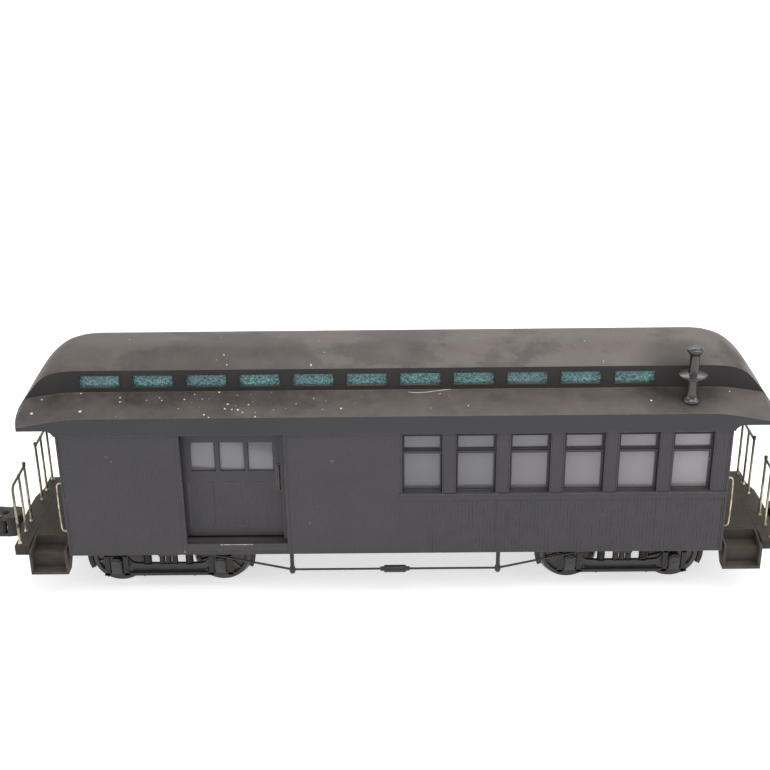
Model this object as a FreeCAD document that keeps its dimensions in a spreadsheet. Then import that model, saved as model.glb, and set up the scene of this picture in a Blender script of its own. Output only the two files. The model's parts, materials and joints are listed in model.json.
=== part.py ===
import FreeCAD, Part
import Sketcher
import os, math
from FreeCAD import Vector, Placement, Rotation

# Large-scale model railway coach, a combine: baggage section at the -X (front)
# end, passenger section at the +X (rear) end. Millimetres, +Z up, X along the
# car, origin under the middle of the car at the level of the wheel flanges.

doc = FreeCAD.newDocument("Coach")
sheet = doc.addObject("Spreadsheet::Sheet", "Dims")

PARAMS = [
    ("bodyLen", 444.5), ("bodyWide", 104.0), ("wallThick", 3.0),
    ("wallBottom", 38.0), ("wallTop", 129.0), ("floorTop", 46.6), ("floorThick", 3.0),
    ("deckTop", 44.6), ("deckThick", 3.0), ("beamBottom", 37.6),
    ("beamOuter", 260.0), ("beamDeep", 9.5), ("beamHalf", 50.0),
    ("railPlane", 257.0), ("railHigh", 43.7), ("railRad", 0.9),
    ("eaveHalf", 53.5), ("eaveTop", 141.8), ("clerHalf", 28.0),
    ("clerBottom", 149.5), ("clerTop", 165.0), ("ridgeTop", 178.5),
    ("roofShell", 2.5), ("roofTip", 253.6), ("roofBow", 6.8), ("hoodBottom", 133.2),
    ("clerPitch", 35.5), ("clerFirst", -195.0), ("clerWinLong", 26.4), ("clerWinHigh", 8.6),
    ("clerWinBottom", 152.6),
    ("winPitch", 35.64), ("winFirst", 18.7), ("winWide", 26.5), ("winBottom", 83.9), ("winTop", 128.3),
    ("doorLeft", -141.0), ("doorRight", -72.8), ("doorSill", 46.6), ("doorHead", 128.2),
    ("stepIn", 224.0), ("stepOut", 250.0), ("stepFace", 53.0), ("stepBack", 34.0), ("stepBottom", 23.6),
    ("truckCentre", 158.0), ("wheelBase", 72.66), ("treadRad", 19.05), ("flangeRad", 21.25),
    ("axleHigh", 21.25), ("axleRad", 2.0), ("journalRad", 1.4), ("runFit", 0.05),
    ("wheelBack", 19.95), ("wheelFace", 26.2),
    ("frameIn", 36.5), ("frameOut", 39.0), ("pinRad", 1.55),
    ("trussLine", 47.75), ("trussLow", 22.9), ("queenAt", 70.8), ("trussEnd", 152.0),
    ("couplerPivot", 246.0), ("couplerLow", 31.2), ("couplerHigh", 36.8),
    ("headLow", 28.0), ("headHigh", 43.0),
]
for i, (alias, value) in enumerate(PARAMS, start=1):
    sheet.set("A%d" % i, alias)
    sheet.set("B%d" % i, str(value))
    sheet.setAlias("B%d" % i, alias)
doc.recompute()


class Q:
    """A length with its number and its spreadsheet expression."""

    def __init__(self, v, t):
        self.v = float(v)
        self.t = t

    def __add__(self, o):
        o = q(o)
        return Q(self.v + o.v, "(%s + %s)" % (self.t, o.t))

    def __radd__(self, o):
        return q(o) + self

    def __sub__(self, o):
        o = q(o)
        return Q(self.v - o.v, "(%s - %s)" % (self.t, o.t))

    def __rsub__(self, o):
        return q(o) - self

    def __mul__(self, o):
        o = q(o)
        return Q(self.v * o.v, "(%s * %s)" % (self.t, o.t))

    __rmul__ = __mul__

    def __truediv__(self, o):
        o = q(o)
        return Q(self.v / o.v, "(%s / %s)" % (self.t, o.t))

    def __neg__(self):
        return Q(-self.v, "(0 - %s)" % self.t)


def q(x):
    if isinstance(x, Q):
        return x
    return Q(x, "(%.6f)" % x)


class Table:
    def __init__(self, pairs):
        for k, v in pairs:
            setattr(self, k, Q(v, "Dims." + k))


D = Table(PARAMS)
HX = D.bodyLen / 2
HY = D.bodyWide / 2
IY = HY - D.wallThick
IX = HX - D.wallThick
serial = [0]
nodes = {}


def name(base):
    serial[0] += 1
    return "%s_%d" % (base, serial[0])


def put(o, x, y, z, rot=None):
    x, y, z = q(x), q(y), q(z)
    o.Placement = Placement(Vector(x.v, y.v, z.v), rot or Rotation())
    for k, c in (("x", x), ("y", y), ("z", z)):
        if "Dims" in c.t:
            o.setExpression("Placement.Base." + k, c.t)
    return o


def size(o, prop, value):
    value = q(value)
    setattr(o, prop, value.v)
    if "Dims" in value.t:
        o.setExpression(prop, value.t)


def box(x0, x1, y0, y1, z0, z1):
    x0, x1, y0, y1, z0, z1 = [q(c) for c in (x0, x1, y0, y1, z0, z1)]
    o = doc.addObject("Part::Box", name("Block"))
    size(o, "Length", x1 - x0)
    size(o, "Width", y1 - y0)
    size(o, "Height", z1 - z0)
    return put(o, x0, y0, z0)


AXES = {"z": Rotation(), "x": Rotation(Vector(0, 1, 0), 90), "y": Rotation(Vector(1, 0, 0), -90)}


def cyl(x, y, z, axis, r, h):
    o = doc.addObject("Part::Cylinder", name("Rod"))
    size(o, "Radius", r)
    size(o, "Height", h)
    return put(o, x, y, z, AXES[axis])


def ball(x, y, z, r):
    o = doc.addObject("Part::Sphere", name("Ball"))
    size(o, "Radius", r)
    return put(o, x, y, z)


def comp(*objs):
    o = doc.addObject("Part::Compound", name("Group"))
    o.Links = list(objs)
    return o


def fuse(*objs):
    o = doc.addObject("Part::MultiFuse", name("Union"))
    o.Shapes = list(objs)
    o.Refine = True
    return o


def cut(base, *tools):
    o = doc.addObject("Part::Cut", name("Cut"))
    o.Base = base
    o.Tool = tools[0] if len(tools) == 1 else comp(*tools)
    o.Refine = True
    return o


def mirror(o, axis):
    m = doc.addObject("Part::Mirroring", name("Mirror"))
    m.Source = o
    m.Normal = {"x": Vector(1, 0, 0), "y": Vector(0, 1, 0)}[axis]
    m.Base = Vector(0, 0, 0)
    return m


def sketch(body, plane, pts):
    sk = body.newObject("Sketcher::SketchObject", name("Outline"))
    ref = [f for f in body.Origin.OriginFeatures if f.Role == plane][0]
    sk.AttachmentSupport = [(ref, "")]
    sk.MapMode = "FlatFace"
    pts = [(q(a), q(b)) for a, b in pts]
    n = len(pts)
    geo = []
    for i in range(n):
        a, b = pts[i], pts[(i + 1) % n]
        geo.append(Part.LineSegment(Vector(a[0].v, a[1].v, 0), Vector(b[0].v, b[1].v, 0)))
    sk.addGeometry(geo, False)
    for i in range(n):
        sk.addConstraint(Sketcher.Constraint("Coincident", i, 2, (i + 1) % n, 1))
    for i, (a, b) in enumerate(pts):
        for c, kind, axis, tag in ((a, "DistanceX", -2, "u"), (b, "DistanceY", -1, "w")):
            if abs(c.v) < 1e-9:
                sk.addConstraint(Sketcher.Constraint("PointOnObject", i, 1, axis))
            else:
                k = sk.addConstraint(Sketcher.Constraint(kind, -1, 1, i, 1, c.v))
                if "Dims" in c.t:
                    sk.renameConstraint(k, "%s%d" % (tag, i))
                    sk.setExpression("Constraints.%s%d" % (tag, i), c.t)
    return sk


def pad(plane, pts, a, b):
    """Extrusion of an outline: plane XY from z=a to b, XZ from y=a to b, YZ from x=a to b."""
    a, b = q(a), q(b)
    body = doc.addObject("PartDesign::Body", name("Body"))
    sk = sketch(body, plane + "_Plane", pts)
    p = body.newObject("PartDesign::Pad", name("Pad"))
    p.Profile = sk
    size(p, "Length", b - a)
    body.Tip = p
    if plane == "XY":
        put(body, 0, 0, a)
    elif plane == "XZ":
        put(body, 0, b, 0)
    else:
        put(body, a, 0, 0)
    return body


def turned(pts, x, y, z, axis="z", flip=False):
    """Solid of revolution from an outline of (radius, distance along the axis)."""
    body = doc.addObject("PartDesign::Body", name("Body"))
    sk = sketch(body, "XZ_Plane", pts)
    r = body.newObject("PartDesign::Revolution", name("Revolution"))
    r.Profile = sk
    r.ReferenceAxis = (sk, ["V_Axis"])
    r.Angle = 360.0
    body.Tip = r
    rot = AXES[axis]
    if flip:
        rot = rot.multiply(Rotation(Vector(1, 0, 0), 180))
    return put(body, x, y, z, rot)


def node(label, obj):
    obj.Label = label
    nodes[label] = obj
    return obj


# ---------------------------------------------------------------- underframe
node("floor", box(-IX, IX, -IY, IY, D.floorTop - D.floorThick, D.floorTop))
sill_bottom = D.floorTop - D.floorThick
node("underframe", cut(box(-210, 210, -7, 7, 38, sill_bottom),
                      cyl(D.truckCentre, 0, 37, "z", D.pinRad, 5), cyl(-D.truckCentre, 0, 37, "z", D.pinRad, 5)))
cross = []
for s in (-1, 1):
    tx = D.truckCentre * s
    bolster = fuse(box(tx - 7, tx + 7, -38, 38, 36.2, 38), box(tx - 7, tx + 7, 7, 38, 37.9, sill_bottom), box(tx - 7, tx + 7, -38, -7, 37.9, sill_bottom))
    cross.append(cut(bolster, cyl(tx, 0, 35, "z", D.pinRad, 4)))
    qx = D.queenAt * s
    ex = D.trussEnd * s
    for t in (-1, 1):
        ya, yb = (7, 48.9) if t > 0 else (-48.9, -7)
        cross.append(box(qx - 3, qx + 3, ya, yb, 38.5, sill_bottom))
        yc, yd = (45.5, 48.9) if t > 0 else (-48.9, -45.5)
        cross.append(fuse(box(ex - 1.5, ex + 1.5, ya, yb, 41.6, sill_bottom), box(ex - 5, ex + 5, yc, yd, 39.2, sill_bottom)))
node("cross_members", comp(*cross))

king = []
for s in (-1, 1):
    king.append(turned([(0, 24.2), (3.3, 24.2), (3.3, 26.0), (D.pinRad, 26.0), (D.pinRad, 42.0), (0, 42.0)], D.truckCentre * s, 0, 0))
node("kingpins", comp(*king))

# truss rods, one along each side under the floor, with queen posts and a turnbuckle
rods, bucks, queens = [], [], []
for t in (-1, 1):
    y = D.trussLine * t
    qa, ql, te = D.queenAt, D.trussLow, D.trussEnd
    rise, run = (41.2 - ql.v), (te.v - qa.v)
    ln = math.hypot(rise, run)
    ang = math.degrees(math.atan2(rise, run))
    segs = [cyl(-qa, y, ql, "x", 0.75, qa * 2)]
    for s in (-1, 1):
        c = doc.addObject("Part::Cylinder", name("Rod"))
        size(c, "Radius", 0.75)
        c.Height = ln
        put(c, qa * s, y, ql, Rotation(Vector(0, 1, 0), s * (90 - ang)))
        segs.append(c)
        segs.append(ball(qa * s, y, ql, 0.75))
    rods.append(fuse(*segs))
    bucks.append(turned([(0, -10), (1.3, -10), (1.9, -7.2), (2.6, -7.0), (2.6, 7.0), (1.9, 7.2), (1.3, 10), (0, 10)], 0, y, ql, "x"))
    for s in (-1, 1):
        x = qa * s
        queens.append(fuse(box(x - 1.3, x + 1.3, y - 1.1, y + 1.1, ql, 38.5),
                           turned([(0, -2.6), (1.5, -2.6), (2.1, -1.2), (2.1, 1.2), (1.5, 2.6), (0, 2.6)], x, y, ql)))
node("truss_rods", comp(*rods))
node("turnbuckles", comp(*bucks))
node("queen_posts", comp(*queens))

# ---------------------------------------------------------------- platforms
platform = fuse(
    box(HX, D.beamOuter - 1.5, -D.stepBack, D.stepBack, D.deckTop - D.deckThick, D.deckTop),
    box(D.stepOut + 0.1, D.beamOuter, -D.beamHalf, D.beamHalf, D.beamBottom, D.deckTop),
    pad("XY", [(D.beamOuter - 1, -36), (D.beamOuter + 3.2, -20), (D.beamOuter + 3.8, 0), (D.beamOuter + 3.2, 20), (D.beamOuter - 1, 36)],
        D.beamBottom, D.deckTop),
    box(HX, D.beamOuter - 2, -12, 12, 37.7, D.deckTop - D.deckThick))
node("rear_platform", platform)
node("front_platform", mirror(platform, "x"))

cheek = [(-D.stepFace, D.stepBottom), (-D.stepFace, 41.5), (-D.stepBack, D.deckTop), (-D.stepBack, D.stepBottom)]
step = fuse(
    pad("YZ", cheek, D.stepIn + 0.2, D.stepIn + 1.7),
    pad("YZ", cheek, D.stepOut - 1.7, D.stepOut),
    box(D.stepIn + 0.2, D.stepOut, -D.stepFace, -44.3, D.stepBottom, 25.2),
    box(D.stepIn + 0.2, D.stepOut, -45.5, -44.3, D.stepBottom, 36.5),
    box(D.stepIn + 0.2, D.stepOut, -45.5, -D.stepBack, 35.1, 36.5),
    box(D.stepIn + 0.2, D.stepOut, -D.stepBack - 1.2, -D.stepBack, 35.1, D.deckTop))
taper = pad("YZ", [(-44.0, 15), (-44.0, 23.59), (-D.stepBack + 0.01, 34.9), (-30, 34.9), (-30, 15)], 220, 255)
step = cut(step, taper)
step2 = mirror(step, "y")
node("platform_steps", comp(step, step2, mirror(step, "x"), mirror(step2, "x")))

rail_r = D.railRad
rt = D.deckTop + D.railHigh


def railing(sx, sy):
    """Wire railing of one platform corner, with the bend that joins the outer leg to the top rail."""
    x = D.railPlane * sx
    bend = doc.addObject("Part::Torus", name("Bend"))
    size(bend, "Radius1", 4)
    size(bend, "Radius2", rail_r)
    bend.Angle3 = 90
    turn = Rotation(Vector(0, 0, 1), -90).multiply(Rotation(Vector(1, 0, 0), 90)) if sy < 0 else Rotation(Vector(1, 1, 1), 120)
    put(bend, x, 42.05 * sy, rt - 4, turn)
    return fuse(
        cyl(x, 46.05 * sy, D.deckTop, "z", rail_r, D.railHigh - 4),
        cyl(x, 29.6 * sy, D.deckTop, "z", rail_r, D.railHigh),
        cyl(x, 15.4 * sy, D.deckTop, "z", rail_r, D.railHigh + 1.2),
        cyl(x, min(15.4 * sy, 42.05 * sy), rt, "y", rail_r, 26.65),
        ball(x, 15.4 * sy, rt + 1.8, 1.4),
        cyl(x, 46.05 * sy, D.deckTop, "z", 1.7, 1.2),
        cyl(x, 29.6 * sy, D.deckTop, "z", 1.7, 1.2),
        cyl(x, 15.4 * sy, D.deckTop, "z", 1.7, 1.2),
        bend)


node("platform_railings", comp(*[railing(sx, sy) for sx in (-1, 1) for sy in (-1, 1)]))

grab = fuse(cyl(225.6, -50.3, 57, "z", 0.65, 35.5), cyl(HX, -50.3, 57, "x", 0.65, 3.35), cyl(HX, -50.3, 92.5, "x", 0.65, 3.35),
            ball(225.6, -50.3, 57, 0.65), ball(225.6, -50.3, 92.5, 0.65))
grab2 = mirror(grab, "y")
node("grab_irons", comp(grab, grab2, mirror(grab, "x"), mirror(grab2, "x")))

# ---------------------------------------------------------------- body shell
tools = [box(D.doorLeft, D.doorRight, -HY - 2, -IY + 1, D.doorSill, D.doorHead)]
for i in range(6):
    cx = D.winFirst + D.winPitch * i
    tools.append(box(cx - D.winWide / 2, cx + D.winWide / 2, -HY - 2, -IY + 1, D.winBottom, D.winTop))
slab = fuse(box(-HX, HX, -HY, -IY, D.wallBottom, D.wallTop),
            box(3.2, HX, -HY - 0.8, -HY, 79, 83.6),
            box(D.doorLeft - 2.6, D.doorLeft, -HY - 0.6, -HY, D.wallBottom + 1, D.wallTop - 0.5),
            box(D.doorRight, D.doorRight + 2.0, -HY - 0.6, -HY, D.wallBottom + 1, D.wallTop - 0.5),
            box(D.doorLeft, D.doorRight, -HY - 1.0, -HY, D.doorSill - 5.2, D.doorSill))
wall = cut(slab, *tools)
node("left_side_wall", wall)
node("right_side_wall", mirror(wall, "y"))

trim_low = D.floorTop
door_axis = IX - 0.65
endw = cut(fuse(box(IX, HX, -IY, IY, D.wallBottom, D.wallTop),
                box(HX, HX + 0.9, -15.5, -13, trim_low, 114.5), box(HX, HX + 0.9, 13, 15.5, trim_low, 114.5), box(HX, HX + 0.9, -15.5, 15.5, 112, 114.5)),
           box(IX - 1, HX + 2, -13, 13, D.floorTop, 112))
knuckles = []
for z in (58.1, 104.1):
    knuckles.append(cyl(door_axis, -12.3, z, "z", 0.6, 2.9))
    knuckles.append(box(IX - 1.1, IX, -16.5, -13, z, z + 2.9))
    knuckles.append(box(IX - 1.1, IX - 0.2, -13.1, -12.4, z, z + 2.9))
endw = fuse(endw, *knuckles)
node("rear_end_wall", endw)
node("front_end_wall", mirror(endw, "x"))

# roof: a clerestory shell whose ends curve down over the platforms
stations = [
    (200.0, 178.5, 165.0, 149.5, 141.8), (212.0, 177.2, 164.9, 149.5, 141.4),
    (222.0, 173.4, 164.0, 149.0, 140.3), (230.0, 167.4, 161.7, 147.8, 138.8),
    (236.0, 161.0, 157.3, 146.9, 137.7), (241.0, 154.2, 151.7, 146.0, 136.8),
    (246.0, 146.8, 145.3, 144.6, 136.1), (250.0, 140.2, 139.5, 138.8, 135.6),
    (254.2, 134.4, 134.3, 134.2, 134.0)]


def section(x, zr, zt, zb, ze, low):
    c, e = D.clerHalf.v, D.eaveHalf.v
    v = [Vector(x, -e, low), Vector(x, -e, ze), Vector(x, -c, zb), Vector(x, -c, zt), Vector(x, c, zt),
         Vector(x, c, zb), Vector(x, e, ze), Vector(x, e, low)]
    edges = [Part.makeLine(v[0], v[1]), Part.makeLine(v[1], v[2]), Part.makeLine(v[2], v[3]),
             Part.Arc(v[3], Vector(x, 0, zr), v[4]).toShape(), Part.makeLine(v[4], v[5]),
             Part.makeLine(v[5], v[6]), Part.makeLine(v[6], v[7]), Part.makeLine(v[7], v[0])]
    return Part.Wire(edges)


def loft(rows, low, sign):
    wires = [section(sign * s, a, b, c, d, low) for s, a, b, c, d in rows]
    return Part.makeLoft(wires, True, True)


core = Part.makeLoft([section(-200, *stations[0][1:], D.hoodBottom.v), section(200, *stations[0][1:], D.hoodBottom.v)], True, True)
outer = core.fuse([loft(stations, D.hoodBottom.v, 1), loft(stations, D.hoodBottom.v, -1)]).removeSplitter()
roof_skin = doc.addObject("Part::Feature", "RoofSkin")
roof_skin.Shape = outer
roof_base = box(-HX, HX, -D.eaveHalf, D.eaveHalf, D.wallTop, D.hoodBottom + 0.5)
# rounded inside corners between the end walls and the underside of each hood
coves = []
for s in (-1, 1):
    xa = HX - 0.5 if s > 0 else -228.7
    xb = 228.7 if s > 0 else -HX + 0.5
    coves.append(cut(box(xa, xb, -D.eaveHalf, D.eaveHalf, D.wallTop, D.hoodBottom + 0.5), cyl(228.7 * s, -60, D.hoodBottom - 6.2, "y", 6.2, 120)))
bow_r = (D.eaveHalf.v ** 2 + D.roofBow.v ** 2) / (2 * D.roofBow.v)
bows = []
for s in (-1, 1):
    b = box(235 if s > 0 else -262, 262 if s > 0 else -235, -60, 60, 120, 185)
    c = doc.addObject("Part::Cylinder", name("Bow"))
    c.Radius = bow_r
    c.Height = 80
    put(c, (D.roofTip - bow_r) * s, 0, 115)
    bows.append(cut(b, c))
sh = D.roofShell
arc = []
for k in range(7):
    t = -1 + k / 3.0
    yy = -(D.clerHalf.v - 2.5) * t
    arc.append((yy, 175.6 - 13.2 * t * t))
cav_main = pad("YZ", [(-IY, 128), (-IY, 137.6), (-25.5, 146.6)] + [(-a, b) for a, b in arc] + [(25.5, 146.6), (IY, 137.6), (IY, 128)], -210.5, 210.5)
cav_end = pad("YZ", [(-IY, 128), (-IY, 136.4), (-25.5, 145.0), (25.5, 145.0), (IY, 136.4), (IY, 128)], -IX, IX)
wins = []
for i in range(11):
    cx = D.clerFirst + D.clerPitch * i
    for t in (-1, 1):
        wins.append(box(cx - D.clerWinLong / 2, cx + D.clerWinLong / 2, t * 26.5 - 3, t * 26.5 + 3, D.clerWinBottom, D.clerWinBottom + D.clerWinHigh))
node("roof", cut(cut(cut(fuse(roof_skin, roof_base, *coves), fuse(cav_main, cav_end)), *bows), *wins))
strips = [box(-210.0, D.clerFirst + D.clerPitch * 10 + D.clerWinLong / 2 + 2, *((24.6, 25.5) if t > 0 else (-25.5, -24.6)), 151.0, 162.3) for t in (-1, 1)]
node("clerestory_glazing", comp(*strips))

jack = turned([(0, 0), (6.4, 0), (6.4, 0.9), (5.2, 1.6), (3.9, 2.6), (3.9, 14.6), (3.6, 15.2), (9.0, 16.8), (9.3, 17.6), (9.0, 18.2),
               (3.4, 18.9), (3.1, 19.4), (3.1, 31.5), (4.6, 33.2), (5.6, 34.6), (5.6, 35.4), (4.4, 36.6), (0, 37.2)], 195.0, -40.5, 0)
put(jack, 195.0, -40.5, 146.2)
slope = pad("YZ", [(-60, 130), (-60, 141.8 - (6.5 / 25.5) * 7.7), (-53.5, 141.8), (-28, 149.5), (-20, 151.9), (-20, 130)], 180, 212)
jack_foot = cyl(195.0, -40.5, 142.5, "z", 6.4, 4.2)
node("smokejack", cut(fuse(jack, jack_foot), slope))

# ---------------------------------------------------------------- windows
def sash(i):
    cx = D.winFirst + D.winPitch * i
    w = D.winWide / 2 + 0.9
    frame = box(cx - w, cx + w, -IY, -47.2, D.winBottom - 0.9, D.winTop + 0.6)
    return cut(frame, box(cx - 11.8, cx + 11.8, -50, -46, 85.2, 112.6), box(cx - 11.8, cx + 11.8, -50, -46, 115.6, 125.2))


sashes = comp(*[sash(i) for i in range(6)])
node("left_window_sashes", sashes)
node("right_window_sashes", mirror(sashes, "y"))
pane = box(4.0, 212.0, -47.2, -46.6, 83.0, 128.6)
node("window_glazing", comp(pane, mirror(pane, "y")))

# ---------------------------------------------------------------- baggage doors
door_l, door_r = D.doorLeft - 2.5, D.doorRight - 2.6
leaf = box(door_l, door_r, -44.8, -43.0, 48.7, 128.2)
holes = [box(a, b, -46, -42, 97.6, 120.0) for a, b in ((-136.3, -119.3), (-116.6, -99.6), (-97.4, -80.2))]
panels = [box(a, b, -46, -44.2, 55.3, 90.8) for a, b in ((-138.8, -121.4), (-118.6, -102.6), (-99.8, -80.2))]
leaf = cut(leaf, *(holes + panels))
node("left_baggage_door", leaf)
node("right_baggage_door", mirror(leaf, "y"))
dg = box(-137, -79, -43.0, -42.6, 96.5, 121.5)
node("left_baggage_door_glazing", dg)
node("right_baggage_door_glazing", mirror(dg, "y"))
handle = fuse(box(-78.6, -75.8, -45.2, -44.8, 83.0, 103.4), cyl(-77.2, -46.6, 84.3, "z", 0.85, 17.7),
              box(-77.8, -76.6, -46.9, -44.9, 84.3, 85.8), box(-77.8, -76.6, -46.9, -44.9, 100.5, 102.0))
node("left_baggage_door_handle", handle)
node("right_baggage_door_handle", mirror(handle, "y"))
low_rail = box(-212, -141.5, -IY, -45.0, 48.8, 50.0)
top_rail = fuse(box(-212, -70, -IY, -45.0, 126.6, 128.9), box(-212, -70, -42.8, -41.8, 124.5, 128.9), box(-212, -70, -IY, -41.8, 128.35, 128.9),
                box(-212, -210, -IY, -41.8, 124.5, 128.9), box(-71.5, -70, -IY, -41.8, 124.5, 128.9))
node("baggage_door_rails", comp(low_rail, top_rail, mirror(low_rail, "y"), mirror(top_rail, "y")))

# ---------------------------------------------------------------- end doors
dx0, dx1 = IX + 0.05, IX + 2.0
hinge_bits = []
for z in (55.0, 101.0):
    hinge_bits.append(cyl(door_axis, -12.3, z, "z", 0.6, 3.0))
    hinge_bits.append(box(door_axis, dx0 + 0.2, -12.2, -9.9, z, z + 3.0))
edoor = cut(fuse(*hinge_bits, box(dx0, dx1, -12.7, 12.7, 46.8, 111.8),
                 cyl(dx1, 9.8, 78, "x", 1.1, 2.2), cyl(dx0 - 2.2, 9.8, 78, "x", 1.1, 2.2)),
            box(IX - 1, HX, -8.6, 8.6, 82, 106), box(dx1 - 0.6, dx1 + 1, -8.6, 8.6, 53, 74))
node("rear_end_door", edoor)
node("front_end_door", mirror(edoor, "x"))
eg = box(dx0 - 0.5, dx0, -9.6, 9.4, 81, 107)
node("rear_end_door_glazing", eg)
node("front_end_door_glazing", mirror(eg, "x"))

# ---------------------------------------------------------------- couplers
cp, cl, ch = D.couplerPivot, D.couplerLow, D.couplerHigh
pocket = cut(pad("XZ", [(236, 37.6), (236, 28.2), (258, 28.2), (264.5, 30.0), (264.5, 37.6)], -10, 10),
             box(239.5, 270, -8, 8, cl - 0.2, ch + 0.2))
pocket = fuse(pocket, cyl(cp, 0, 28.2, "z", 1.8, 9.4))
node("coupler_pockets", comp(pocket, mirror(pocket, "x")))


def half_turn(o):
    return mirror(mirror(o, "x"), "y")


hl, hh = D.headLow, D.headHigh
shank = cut(fuse(cyl(cp, 0, cl, "z", 5.2, ch - cl), box(cp, 270, -3, 3, cl, ch),
                 pad("XY", [(267.5, -3.2), (270.5, -7.8), (277.2, -9.0), (277.2, 9.0), (276.8, 9.2), (272, 8.4), (267.5, 4)], hl, hh),
                 pad("XY", [(277.2, -9.0), (286.8, -10.4), (290, -9.2), (285.5, -4.6), (280.5, -3.4), (277.2, -3.2)], hl + 1, hh - 1),
                 pad("XY", [(277.1, 1.5), (280.2, 4.2), (284.6, 4.6), (284.6, 8.8), (277.1, 9.0)], hl, hl + 2.4),
                 pad("XY", [(277.1, 1.5), (280.2, 4.2), (284.6, 4.6), (284.6, 8.8), (277.1, 9.0)], hh - 2.4, hh)),
            cyl(cp, 0, cl - 1, "z", 1.85, 8), cyl(282.4, 6.6, hl - 1, "z", 0.8, 17))
node("rear_coupler", shank)
node("front_coupler", half_turn(shank))
knuckle = cut(pad("XY", [(278.6, 5.2), (280.4, 4.6), (281.6, 2.2), (284.4, -0.6), (288.2, -1.6), (290, 0.4), (289.4, 4.2), (286.4, 8.0), (283.6, 9.2), (280.4, 9.0), (278.8, 7.6)], hl + 2.5, hh - 2.5),
              cyl(282.4, 6.6, hl - 1, "z", 0.85, 17))
node("rear_coupler_knuckle", knuckle)
node("front_coupler_knuckle", half_turn(knuckle))
kpin = fuse(cyl(282.4, 6.6, hl, "z", 0.8, hh - hl), cyl(282.4, 6.6, hh, "z", 1.4, 0.7))
node("rear_knuckle_pin", kpin)
node("front_knuckle_pin", half_turn(kpin))


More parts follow.
